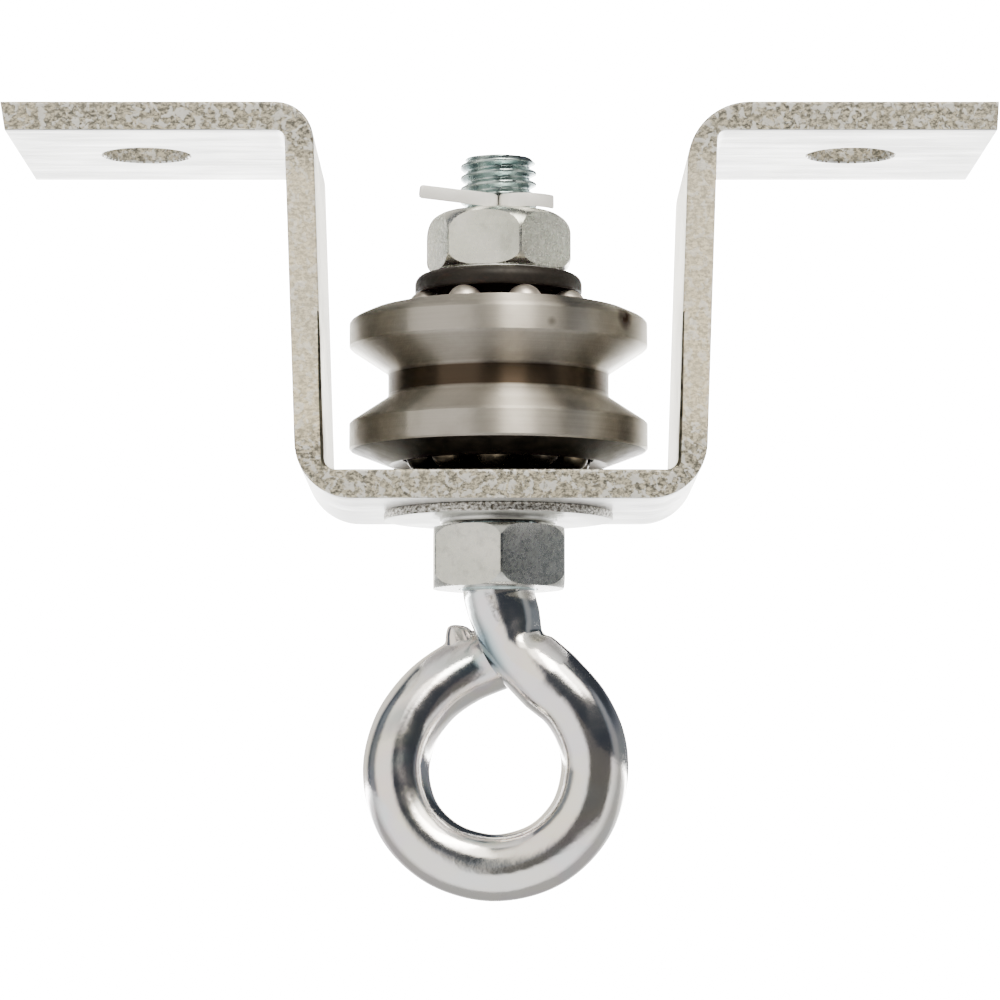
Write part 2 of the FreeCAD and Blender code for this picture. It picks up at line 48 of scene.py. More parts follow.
def mesh_obj(name, verts, faces, sharp=32.0):
    me = bpy.data.meshes.new(name)
    me.from_pydata([tuple(v) for v in verts], [], faces)
    me.validate()
    ob = link(bpy.data.objects.new(name, me))
    bm = bmesh.new()
    bm.from_mesh(me)
    bmesh.ops.recalc_face_normals(bm, faces=bm.faces)
    bm.to_mesh(me)
    bm.free()
    smooth(ob, sharp)
    return ob


def smooth(ob, sharp=32.0):
    me = ob.data
    me.polygons.foreach_set("use_smooth", [True] * len(me.polygons))
    me.set_sharp_from_angle(angle=math.radians(sharp))
    me.update()


def apply_mods(ob):
    dg = bpy.context.evaluated_depsgraph_get()
    dg.update()
    ev = ob.evaluated_get(dg)
    me = bpy.data.meshes.new_from_object(ev, preserve_all_data_layers=True, depsgraph=dg)
    old = ob.data
    ob.modifiers.clear()
    ob.data = me
    me.name = old.name
    bpy.data.meshes.remove(old)
    return ob


def boolean(ob, tool, op="DIFFERENCE", keep_tool=False):
    m = ob.modifiers.new("b", "BOOLEAN")
    m.operation = op
    m.solver = "EXACT"
    m.object = tool
    apply_mods(ob)
    if not keep_tool:
        bpy.data.objects.remove(tool, do_unlink=True)
    return ob


def bevel(ob, width, segs=2, angle=30.0, sharp=32.0):
    m = ob.modifiers.new("bev", "BEVEL")
    m.width = width
    m.segments = segs
    m.limit_method = "ANGLE"
    m.angle_limit = math.radians(angle)
    m.use_clamp_overlap = True
    m.harden_normals = False
    apply_mods(ob)
    smooth(ob, sharp)
    return ob


def round_poly(pts, radii, n=6, closed=True):
    """Corners of a 2D polygon turned into arcs; returns the list of points."""
    out = []
    m = len(pts)
    for i in range(m):
        b = Vector(pts[i])
        r = radii[i]
        if r <= 0 or (not closed and i in (0, m - 1)):
            out.append(b)
            continue
        a, c = Vector(pts[i - 1]), Vector(pts[(i + 1) % m])
        u, w = (a - b).normalized(), (c - b).normalized()
        ang = math.acos(max(-1.0, min(1.0, u.dot(w))))
        if ang > math.pi - 1e-3:
            out.append(b)
            continue
        cut = r / math.tan(ang / 2)
        cut = min(cut, (a - b).length * 0.49, (c - b).length * 0.49)
        r = cut * math.tan(ang / 2)
        centre = b + (u + w).normalized() * (r / math.sin(ang / 2))
        p1, p2 = b + u * cut, b + w * cut
        v1, v2 = p1 - centre, p2 - centre
        a1 = math.atan2(v1.y, v1.x)
        d = math.atan2(v2.y, v2.x) - a1
        while d > math.pi:
            d -= 2 * math.pi
        while d < -math.pi:
            d += 2 * math.pi
        for k in range(n + 1):
            t = a1 + d * k / n
            out.append(centre + Vector((math.cos(t), math.sin(t))) * r)
    return out


def arc(cx, cy, r, a0, a1, n):
    return [(cx + r * math.cos(math.radians(a0 + (a1 - a0) * k / n)),
             cy + r * math.sin(math.radians(a0 + (a1 - a0) * k / n))) for k in range(n + 1)]


def lathe(name, profile, seg=180, sharp=32.0, wobble=None):
    """A closed profile of (radius, z) in mm, turned about the Z axis."""
    verts, faces = [], []
    n = len(profile)
    for s in range(seg):
        a = 2 * math.pi * s / seg
        ca, sa = math.sin(a), -math.cos(a)
        for r, z in profile:
            if wobble:
                r, z = wobble(r, z, a)
            verts.append((r * ca * MM, r * sa * MM, z * MM))
    for s in range(seg):
        t = (s + 1) % seg
        for i in range(n):
            j = (i + 1) % n
            faces.append((s * n + i, s * n + j, t * n + j, t * n + i))
    return mesh_obj(name, verts, faces, sharp)


def tube(name, centres, rings, cap=True, sharp=32.0):
    """A skin over rings: rings[k] is a list of points, all the same count."""
    verts, faces = [], []
    n = len(rings[0])
    for ring in rings:
        verts.extend(ring)
    for k in range(len(rings) - 1):
        for i in range(n):
            j = (i + 1) % n
            faces.append((k * n + i, k * n + j, (k + 1) * n + j, (k + 1) * n + i))
    if cap:
        faces.append(tuple(range(n)))
        faces.append(tuple(range((len(rings) - 1) * n, len(rings) * n)))
    return mesh_obj(name, verts, faces, sharp)


def catmull(points, per):
    """Smooth line through the points (centripetal), sampled evenly per span."""
    P = [Vector(p) for p in points]
    P = [P[0] * 2 - P[1]] + P + [P[-1] * 2 - P[-2]]
    out = []
    for i in range(1, len(P) - 2):
        p0, p1, p2, p3 = P[i - 1:i + 3]
        t0 = 0.0
        t1 = t0 + (p1 - p0).length ** 0.5
        t2 = t1 + (p2 - p1).length ** 0.5
        t3 = t2 + (p3 - p2).length ** 0.5
        for k in range(per):
            t = t1 + (t2 - t1) * k / per
            a1 = p0 * ((t1 - t) / (t1 - t0)) + p1 * ((t - t0) / (t1 - t0))
            a2 = p1 * ((t2 - t) / (t2 - t1)) + p2 * ((t - t1) / (t2 - t1))
            a3 = p2 * ((t3 - t) / (t3 - t2)) + p3 * ((t - t2) / (t3 - t2))
            b1 = a1 * ((t2 - t) / (t2 - t0)) + a2 * ((t - t0) / (t2 - t0))
            b2 = a2 * ((t3 - t) / (t3 - t1)) + a3 * ((t - t1) / (t3 - t1))
            out.append(b1 * ((t2 - t) / (t2 - t1)) + b2 * ((t - t1) / (t2 - t1)))
    out.append(P[-2])
    return out


def frames(line, up):
    """Parallel-transported side and up vectors along a line."""
    out = []
    u = Vector(up)
    for i, p in enumerate(line):
        a, b = line[max(0, i - 1)], line[min(len(line) - 1, i + 1)]
        t = (b - a).normalized()
        u = (u - t * u.dot(t)).normalized()
        out.append((p, t, t.cross(u).normalized(), u.copy()))
    return out


def lerp(a, b, t):
    return a + (b - a) * t


def step(a, b, x):
    t = max(0.0, min(1.0, (x - a) / (b - a)))
    return t * t * (3 - 2 * t)


# ------------------------------------------------------------------ material helpers
class Mat:
    """A small wrapper that builds a node tree around one Principled shader."""

    def __init__(self, name):
        self.m = bpy.data.materials.new(name)
        self.m.use_nodes = True
        self.t = self.m.node_tree
        self.b = self.t.nodes["Principled BSDF"]
        self.tc = self.node("ShaderNodeTexCoord")
        self.obj = self.tc.outputs["Object"]
        self.bump_src = None

    def node(self, kind, **props):
        n = self.t.nodes.new(kind)
        for k, v in props.items():
            setattr(n, k, v)
        return n

    def put(self, node, **inputs):
        for k, v in inputs.items():
            key = k.replace("_", " ")
            if hasattr(v, "is_linked"):
                self.t.links.new(v, node.inputs[key])
            else:
                node.inputs[key].default_value = v
        return node

    def scale(self, sx, sy, sz, src=None, rot=(0, 0, 0)):
        n = self.node("ShaderNodeMapping")
        n.inputs["Scale"].default_value = (sx, sy, sz)
        n.inputs["Rotation"].default_value = rot
        self.t.links.new(src or self.obj, n.inputs["Vector"])
        return n.outputs["Vector"]

    def noise(self, scale, detail=4.0, rough=0.55, vec=None, dist=0.0):
        n = self.node("ShaderNodeTexNoise")
        self.put(n, Scale=scale, Detail=detail, Roughness=rough, Distortion=dist)
        self.t.links.new(vec or self.obj, n.inputs["Vector"])
        return n.outputs["Fac"]

    def voronoi(self, scale, vec=None, feature="F1", out="Distance", rand=1.0):
        n = self.node("ShaderNodeTexVoronoi", feature=feature)
        self.put(n, Scale=scale, Randomness=rand)
        self.t.links.new(vec or self.obj, n.inputs["Vector"])
        return n.outputs[out]

    def wave(self, scale, vec=None, dist=0.0, detail=2.0, dscale=1.0, direction="Z", kind="BANDS"):
        n = self.node("ShaderNodeTexWave", wave_type=kind)
        if kind == "BANDS":
            n.bands_direction = direction
        self.put(n, Scale=scale, Distortion=dist, Detail=detail, Detail_Scale=dscale)
        self.t.links.new(vec or self.obj, n.inputs["Vector"])
        return n.outputs["Fac"]

    def ramp(self, fac, stops, interp="LINEAR"):
        n = self.node("ShaderNodeValToRGB")
        n.color_ramp.interpolation = interp
        el = n.color_ramp.elements
        while len(el) < len(stops):
            el.new(0.5)
        for e, (p, c) in zip(el, stops):
            e.position = p
            e.color = (c, c, c, 1) if not hasattr(c, "__len__") else (c[0], c[1], c[2], 1)
        self.t.links.new(fac, n.inputs["Fac"])
        return n.outputs["Color"]

    def mixc(self, fac, a, b, blend="MIX"):
        n = self.node("ShaderNodeMix", data_type="RGBA", blend_type=blend)
        for sock, v in ((n.inputs[0], fac), (n.inputs[6], a), (n.inputs[7], b)):
            if hasattr(v, "is_linked"):
                self.t.links.new(v, sock)
            elif hasattr(v, "__len__"):
                sock.default_value = (v[0], v[1], v[2], 1)
            else:
                sock.default_value = v
        return n.outputs[2]

    def math(self, op, a, b=None, c=None, clamp=False):
        n = self.node("ShaderNodeMath", operation=op, use_clamp=clamp)
        for i, v in enumerate((a, b, c)):
            if v is None:
                continue
            if hasattr(v, "is_linked"):
                self.t.links.new(v, n.inputs[i])
            else:
                n.inputs[i].default_value = v
        return n.outputs[0]

    def mapr(self, v, a, b, c, d, clamp=True):
        n = self.node("ShaderNodeMapRange", clamp=clamp)
        self.put(n, From_Min=a, From_Max=b, To_Min=c, To_Max=d)
        self.t.links.new(v, n.inputs["Value"])
        return n.outputs["Result"]

    def sep(self, src=None):
        n = self.node("ShaderNodeSeparateXYZ")
        self.t.links.new(src or self.obj, n.inputs[0])
        return n.outputs

    def combine(self, x, y, z):
        n = self.node("ShaderNodeCombineXYZ")
        for i, v in enumerate((x, y, z)):
            if hasattr(v, "is_linked"):
                self.t.links.new(v, n.inputs[i])
            else:
                n.inputs[i].default_value = v
        return n.outputs[0]

    def bump(self, height, strength=0.2, dist=0.0002):
        n = self.node("ShaderNodeBump")
        n.inputs["Strength"].default_value = strength
        n.inputs["Distance"].default_value = dist
        self.t.links.new(height, n.inputs["Height"])
        if self.bump_src is not None:
            self.t.links.new(self.bump_src, n.inputs["Normal"])
        self.bump_src = n.outputs["Normal"]
        self.t.links.new(self.bump_src, self.b.inputs["Normal"])
        return self.bump_src

    def set(self, **inputs):
        names = {"Base": "Base Color", "Rough": "Roughness", "Metal": "Metallic", "Aniso": "Anisotropic",
                 "AnisoRot": "Anisotropic Rotation", "Coat": "Coat Weight", "CoatRough": "Coat Roughness",
                 "Spec": "Specular IOR Level", "Film": "Thin Film Thickness", "FilmIOR": "Thin Film IOR"}
        for k, v in inputs.items():
            s = self.b.inputs[names.get(k, k)]
            if hasattr(v, "is_linked"):
                self.t.links.new(v, s)
            elif hasattr(v, "__len__"):
                s.default_value = (v[0], v[1], v[2], 1)
            else:
                s.default_value = v
        return self


def srgb(r, g, b):
    def f(c):
        c = c / 255.0
        return c / 12.92 if c <= 0.04045 else ((c + 0.055) / 1.055) ** 2.4
    return (f(r), f(g), f(b))


def polar(mat, src=None):
    """Coordinates (angle, radius, z) about the vertical axis, for marks left by turning."""
    o = mat.sep(src)
    ang = mat.math("ARCTAN2", o["X"], o["Y"])
    rad = mat.math("SQRT", mat.math("ADD", mat.math("MULTIPLY", o["X"], o["X"]), mat.math("MULTIPLY", o["Y"], o["Y"])))
    return ang, rad, o["Z"]


# ------------------------------------------------------------------ materials
def make_zinc_face():
    m = Mat("zinc_rolled_face")
    big = m.noise(60, 5, 0.6)
    fine = m.noise(900, 3, 0.6)
    streak = m.noise(1.0, 4, 0.6, vec=m.scale(60, 700, 700))
    col = m.mixc(m.mapr(big, 0.35, 0.7, 0, 1), srgb(232, 232, 228), srgb(244, 244, 241))
    col = m.mixc(m.mapr(fine, 0.55, 0.8, 0, 0.4), col, srgb(214, 213, 206))
    m.set(Metal=1.0, Base=col, Rough=m.mapr(m.math("ADD", big, streak), 0.7, 1.3, 0.30, 0.46))
    m.bump(fine, 0.12, 0.00004)
    m.bump(streak, 0.08, 0.00004)
    return m.m


def make_zinc_edge():
    """Sheared edge of the strip: coarse torn grain with bright specks."""
    m = Mat("zinc_sheared_edge")
    o = m.sep()
    # torn grain: fine pits and bright burrs, calmer on the upright arms than on the flanges and the base
    grain = m.noise(1.0, 4, 0.78, vec=m.scale(1500, 1900, 2300))
    coarse = m.noise(900, 3, 0.6, dist=0.5)
    patch = m.noise(90, 3, 0.5)
    zone = m.math("ADD", m.mapr(o["Z"], -0.0100, -0.0050, 0.0, 1.0), m.mapr(o["Z"], -0.0450, -0.0405, 1.0, 0.0), clamp=True)
    loose = m.mapr(m.noise(330, 3, 0.6, dist=1.0), 0.35, 0.62, 0.72, 1.0)
    k = m.math("MULTIPLY", m.mapr(zone, 0.0, 1.0, 0.46, 1.0), loose)
    mid = m.mixc(m.mapr(patch, 0.35, 0.65, 0, 1), srgb(236, 223, 192), srgb(224, 214, 190))
    dark = m.math("MULTIPLY", m.mapr(grain, 0.57, 0.45, 0, 1), k)
    base = m.mixc(dark, mid, srgb(58, 55, 47))
    bright = m.math("MULTIPLY", m.mapr(coarse, 0.52, 0.58, 0, 1.0), k)
    base = m.mixc(bright, base, srgb(252, 250, 244))
    base = m.mixc(m.math("MULTIPLY", zone, 0.40), base, srgb(104, 104, 98))
    m.set(Metal=0.25, Base=base, Rough=m.mapr(grain, 0.3, 0.7, 0.34, 0.55))
    m.bump(coarse, 0.55, 0.00016)
    m.bump(grain, 0.5, 0.00009)
    return m.m


def make_zinc_nut(name="zinc_nut", dark=0.0):
    """Forged nut, zinc plated. The lower one is a shade darker and grainier."""
    m = Mat(name)
    n1 = m.noise(160, 4, 0.6)
    n2 = m.noise(1500, 4, 0.65)
    n3 = m.noise(420, 3, 0.5)
    n4 = m.noise(700, 4, 0.7)
    col = m.mixc(m.mapr(n1, 0.35, 0.65, 0, 1), srgb(220, 222, 210), srgb(238, 237, 230)) if not dark else \
        m.mixc(m.mapr(n1, 0.35, 0.65, 0, 1), srgb(198, 200, 191), srgb(218, 217, 211))
    col = m.mixc(m.mapr(n3, 0.56, 0.74, 0, 0.5), col, srgb(176, 178, 168))
    if dark:
        col = m.mixc(m.mapr(n4, 0.50, 0.68, 0, dark), col, srgb(172, 172, 167))
    m.set(Metal=1.0, Base=col, Rough=m.mapr(n2, 0.3, 0.7, 0.22, 0.34))
    m.bump(n2, 0.22, 0.00005)
    m.bump(n3, 0.10, 0.00008)
    return m.m


def make_zinc_washer():
    m = Mat("zinc_washer")
    n1 = m.noise(140, 4, 0.6)
    n2 = m.noise(1400, 4, 0.65)
    col = m.mixc(m.mapr(n1, 0.35, 0.65, 0, 1), srgb(214, 214, 209), srgb(232, 232, 228))
    col = m.mixc(m.mapr(n2, 0.6, 0.8, 0, 0.4), col, srgb(176, 172, 162))
    m.set(Metal=1.0, Base=col, Rough=m.mapr(n1, 0.3, 0.7, 0.28, 0.42))
    m.bump(n2, 0.15, 0.00004)
    return m.m


def make_rim():
    """Stamped edge of the washer: stripes left by the shear run round it."""
    m = Mat("stamped_rim")
    ang, rad, z = polar(m)
    n = m.noise(1.0, 4, 0.65, vec=m.combine(m.math("MULTIPLY", ang, 26.0), 0.0, m.math("MULTIPLY", z, 2600.0)))
    g = m.noise(1300, 4, 0.65)
    col = m.mixc(m.mapr(n, 0.40, 0.62, 0, 1), srgb(84, 78, 68), srgb(236, 233, 226))
    col = m.mixc(m.mapr(g, 0.5, 0.75, 0, 0.4), col, srgb(150, 142, 124))
    m.set(Metal=0.9, Base=col, Rough=m.mapr(g, 0.3, 0.7, 0.32, 0.5))
    m.bump(n, 0.5, 0.00012)
    m.bump(g, 0.2, 0.00006)
    return m.m


def make_zinc_bolt():
    """Bright plated bar with a faint bloom of colours and one blue tint above the first bend, whose dark side towards
    the bar's left edge is painted reflection.
    """
    m = Mat("zinc_bolt")
    n1 = m.noise(90, 3, 0.5)
    n2 = m.noise(1300, 4, 0.65)
    n3 = m.noise(330, 3, 0.55, dist=0.5)
    tint = m.ramp(m.noise(120, 2, 0.45, dist=0.8), [
        (0.30, srgb(240, 240, 238)), (0.44, srgb(244, 238, 228)), (0.55, srgb(240, 230, 232)), (0.70, srgb(228, 238, 238))])
    col = m.mixc(m.mapr(n1, 0.3, 0.7, 0, 0.6), tint, srgb(243, 242, 238))
    col = m.mixc(m.mapr(n3, 0.60, 0.75, 0, 0.22), col, srgb(196, 196, 194))
    o = m.sep()
    # blue tint with painted reflection: dark blue at the bar's left edge, paler across it; u grows across the bar, v
    # along it
    u = m.math("ADD", m.math("MULTIPLY", o["X"], 0.90), m.math("MULTIPLY", o["Z"], 0.43))
    v = m.math("SUBTRACT", m.math("MULTIPLY", o["X"], 0.43), m.math("MULTIPLY", o["Z"], 0.90))
    su = m.mapr(u, -0.0322, -0.0294, 0.0, 1.0)
    blue_tint_and_reflection = m.ramp(su, [(0.0, srgb(70, 92, 104)), (0.35, srgb(120, 142, 152)), (0.62, srgb(176, 194, 200)), (1.0, srgb(226, 232, 230))])
    along = m.math("MULTIPLY", m.mapr(v, 0.0572, 0.0598, 0.0, 1.0), m.mapr(v, 0.0640, 0.0668, 1.0, 0.0))
    mask = m.math("MULTIPLY", m.math("MULTIPLY", along, m.mapr(u, -0.0300, -0.0290, 1.0, 0.0)), m.mapr(o["Y"], -0.0012, 0.0004, 1.0, 0.0))
    col = m.mixc(mask, col, blue_tint_and_reflection)
    # painted reflection: a dark band down the middle of the bar's start
    w = m.math("ABSOLUTE", m.math("SUBTRACT", u, m.math("ADD", -0.0282, m.math("MULTIPLY", n3, 0.0006))))
    painted_dark_band = m.math("MULTIPLY", m.mapr(w, 0.0003, 0.0007, 1.0, 0.0), m.math("MULTIPLY", m.mapr(v, 0.0545, 0.0555, 0.0, 1.0), m.mapr(v, 0.0585, 0.0600, 1.0, 0.0)))
    painted_dark_band = m.math("MULTIPLY", painted_dark_band, m.mapr(o["Y"], -0.003, -0.002, 1.0, 0.0))
    col = m.mixc(m.math("MULTIPLY", painted_dark_band, m.mapr(n2, 0.40, 0.62, 0.15, 0.8)), col, srgb(84, 82, 78))
    m.set(Metal=1.0, Base=col, Rough=m.mapr(n3, 0.3, 0.7, 0.11, 0.18))
    m.bump(n2, 0.22, 0.00005)
    m.bump(n3, 0.12, 0.00012)
    return m.m


def make_thread():
    m = Mat("zinc_thread")
    n1 = m.noise(400, 3, 0.5)
    n2 = m.noise(1500, 4, 0.65)
    col = m.mixc(m.mapr(n1, 0.3, 0.7, 0, 1), srgb(150, 170, 170), srgb(204, 216, 214))
    m.set(Metal=1.0, Base=col, Rough=m.mapr(n2, 0.3, 0.7, 0.22, 0.38))
    m.bump(n2, 0.2, 0.00004)
    return m.m


def make_pin():
    m = Mat("pin_wire")
    n1 = m.noise(300, 3, 0.5)
    n2 = m.noise(1.0, 3, 0.5, vec=m.scale(300, 2200, 2200))
    col = m.mixc(m.mapr(n1, 0.3, 0.7, 0, 1), srgb(248, 246, 242), srgb(254, 253, 250))
    m.set(Metal=0.15, Base=col, Rough=m.mapr(n1, 0.3, 0.7, 0.34, 0.46))
    m.bump(n2, 0.1, 0.00003)
    return m.m


def spot(m, c, r0, r1):
    """1 within r0 of the point c, 0 beyond r1 (metres)."""
    n = m.node("ShaderNodeVectorMath", operation="DISTANCE")
    m.t.links.new(m.obj, n.inputs[0])
    n.inputs[1].default_value = c
    return m.mapr(n.outputs["Value"], r0, r1, 1.0, 0.0)


def make_turned():
    """Bare turned steel: lathe lines run round the axis, on the cones and faces too."""
    m = Mat("turned_steel")
    ang, rad, z = polar(m)
    along = m.math("ADD", z, m.math("MULTIPLY", rad, 0.9))
    ring = m.combine(m.math("MULTIPLY", ang, 0.35), 0.0, m.math("MULTIPLY", along, 2600.0))
    lines = m.noise(1.0, 3, 0.6, vec=ring)
    blot = m.noise(110, 4, 0.6, dist=0.6)
    cloud = m.noise(260, 4, 0.6)
    tone = m.mapr(lines, 0.35, 0.65, 0, 1)
    col = m.mixc(m.mapr(tone, 0, 1, 0.25, 0.75), srgb(168, 162, 152), srgb(186, 180, 171))
    col = m.mixc(m.mapr(blot, 0.45, 0.75, 0, 0.4), col, srgb(138, 130, 118))
    col = m.mixc(m.mapr(cloud, 0.55, 0.75, 0, 0.25), col, srgb(200, 195, 187))
    # the floor of the groove is painted dark brown: painted shade
    groove = m.math("MULTIPLY", m.mapr(rad, 0.0149, 0.0154, 1.0, 0.0), m.mapr(rad, 0.0132, 0.0138, 0.0, 1.0))
    mid = m.math("MULTIPLY", m.mapr(z, -0.0361, -0.0356, 0.0, 1.0), m.mapr(z, -0.0332, -0.0327, 1.0, 0.0))
    groove_floor_shade = m.math("MULTIPLY", groove, mid)
    col = m.mixc(groove_floor_shade, col, srgb(78, 67, 56))
    # the walls of the groove are painted a little darker than the rims: painted shade
    groove_wall_shade = m.math("MULTIPLY", m.mapr(z, -0.0392, -0.0389, 0.0, 1.0), m.mapr(z, -0.0299, -0.0296, 1.0, 0.0))
    col = m.mixc(m.math("MULTIPLY", m.math("MULTIPLY", groove_wall_shade, m.math("SUBTRACT", 1.0, groove_floor_shade)), 0.08), col, srgb(104, 98, 90))
    # a fleck of rust and a small ding on the upper rim; the ding is painted dark as painted shade in the dent
    rusty = m.math("MULTIPLY", spot(m, (0.0163, -0.0107, -0.0267), 0.0005, 0.0019), m.mapr(cloud, 0.38, 0.55, 0.3, 1.0))
    col = m.mixc(rusty, col, srgb(74, 44, 28))
    ding_shade = spot(m, (0.0067, -0.0182, -0.0283), 0.00025, 0.0008)
    col = m.mixc(m.math("MULTIPLY", ding_shade, 0.55), col, srgb(70, 62, 54))
    rg = m.math("ADD", m.mapr(tone, 0, 1, 0.38, 0.44), m.math("MULTIPLY", rusty, 0.3))
    m.set(Metal=1.0, Base=col, Rough=rg, Aniso=1.0, AnisoRot=0.25)
    tg = m.node("ShaderNodeTangent", direction_type="RADIAL", axis="Z")
    m.t.links.new(tg.outputs[0], m.b.inputs["Tangent"])
    m.bump(lines, 0.05, 0.00003)
    m.bump(blot, 0.05, 0.0001)
    return m.m


def make_turned_dark():
    """The cups inside the wheel and its lower end, painted dark: painted shade."""
    m = Mat("cup_painted_shade")
    n = m.noise(500, 4, 0.6)
    col = m.mixc(m.mapr(n, 0.3, 0.7, 0, 1), srgb(34, 30, 26), srgb(66, 58, 50))
    m.set(Metal=0.9, Base=col, Rough=m.mapr(n, 0.3, 0.7, 0.28, 0.45))
    m.bump(n, 0.15, 0.00008)
    return m.m


def make_oxide():
    m = Mat("black_oxide")
    ang, rad, z = polar(m)
    n = m.noise(380, 5, 0.6, dist=0.4)
    fine = m.noise(1900, 4, 0.6)
    rust = m.noise(150, 4, 0.62, dist=1.2)
    col = m.mixc(m.mapr(n, 0.3, 0.7, 0, 1), srgb(20, 16, 13), srgb(34, 27, 22))
    col = m.mixc(m.mapr(rust, 0.56, 0.72, 0, 0.7), col, srgb(58, 34, 22))
    lines = m.noise(1.0, 2, 0.5, vec=m.combine(m.math("MULTIPLY", ang, 0.5), 0.0, m.math("MULTIPLY", m.math("ADD", z, rad), 1800.0)))
    m.set(Metal=0.3, Base=col, Rough=m.mapr(fine, 0.3, 0.7, 0.42, 0.62), Spec=0.35)
    m.bump(lines, 0.12, 0.00004)
    m.bump(fine, 0.15, 0.00004)
    return m.m


def make_cage():
    m = Mat("cage_strip")
    n = m.noise(420, 4, 0.6)
    col = m.mixc(m.mapr(n, 0.3, 0.7, 0, 1), srgb(24, 21, 19), srgb(44, 39, 34))
    m.set(Metal=0.6, Base=col, Rough=m.mapr(n, 0.3, 0.7, 0.4, 0.55))
    m.bump(n, 0.1, 0.00006)
    return m.m


def make_ball():
    """Upper balls: dulled by use."""
    m = Mat("ball_steel")
    n = m.noise(260, 3, 0.5, dist=0.6)
    col = m.mixc(m.mapr(n, 0.35, 0.65, 0, 1), srgb(196, 186, 174), srgb(222, 214, 204))
    m.set(Metal=0.9, Base=col, Rough=m.mapr(n, 0.3, 0.7, 0.34, 0.48))
    m.bump(n, 0.06, 0.00006)
    return m.m


def make_ball_low():
    """Lower balls: painted dark, painted shade, so only glints show."""
    m = Mat("ball_low_painted_shade")
    n = m.noise(300, 3, 0.5, dist=0.8)
    col = m.mixc(m.mapr(n, 0.45, 0.70, 0, 1), srgb(40, 36, 31), srgb(120, 110, 96))
    m.set(Metal=0.85, Base=col, Rough=m.mapr(n, 0.3, 0.7, 0.22, 0.36))
    m.bump(n, 0.08, 0.00008)
    return m.m


def make_corner():
    """Rolled corner of the shear cut, painted dark as a painted shade line."""
    m = Mat("corner_painted_shade")
    n = m.noise(500, 4, 0.6)
    col = m.mixc(m.mapr(n, 0.35, 0.65, 0, 1), srgb(52, 50, 44), srgb(112, 108, 96))
    m.set(Metal=0.9, Base=col, Rough=m.mapr(n, 0.3, 0.7, 0.30, 0.45))
    m.bump(n, 0.15, 0.00005)
    return m.m


MAT = {
    "corner": make_corner(), "face": make_zinc_face(), "edge": make_zinc_edge(), "nut": make_zinc_nut(), "nut_low": make_zinc_nut("zinc_nut_low", 0.6),
    "washer": make_zinc_washer(), "rim": make_rim(),
    "bolt": make_zinc_bolt(), "thread": make_thread(), "pin": make_pin(), "turned": make_turned(),
    "cup": make_turned_dark(), "oxide": make_oxide(), "cage": make_cage(), "ball": make_ball(), "ball_low": make_ball_low(),
}


def dress(ob, *mats):
    ob.data.materials.clear()
    for k in mats:
        ob.data.materials.append(MAT[k])
    return ob


# ------------------------------------------------------------------ bracket
END_L, END_R, WIDTH, THICK = 63.7, 64.0, 38.0, 3.7
CH_L, CH_R, DEPTH, LEAN = 22.1, 22.75, 47.25, 0.036


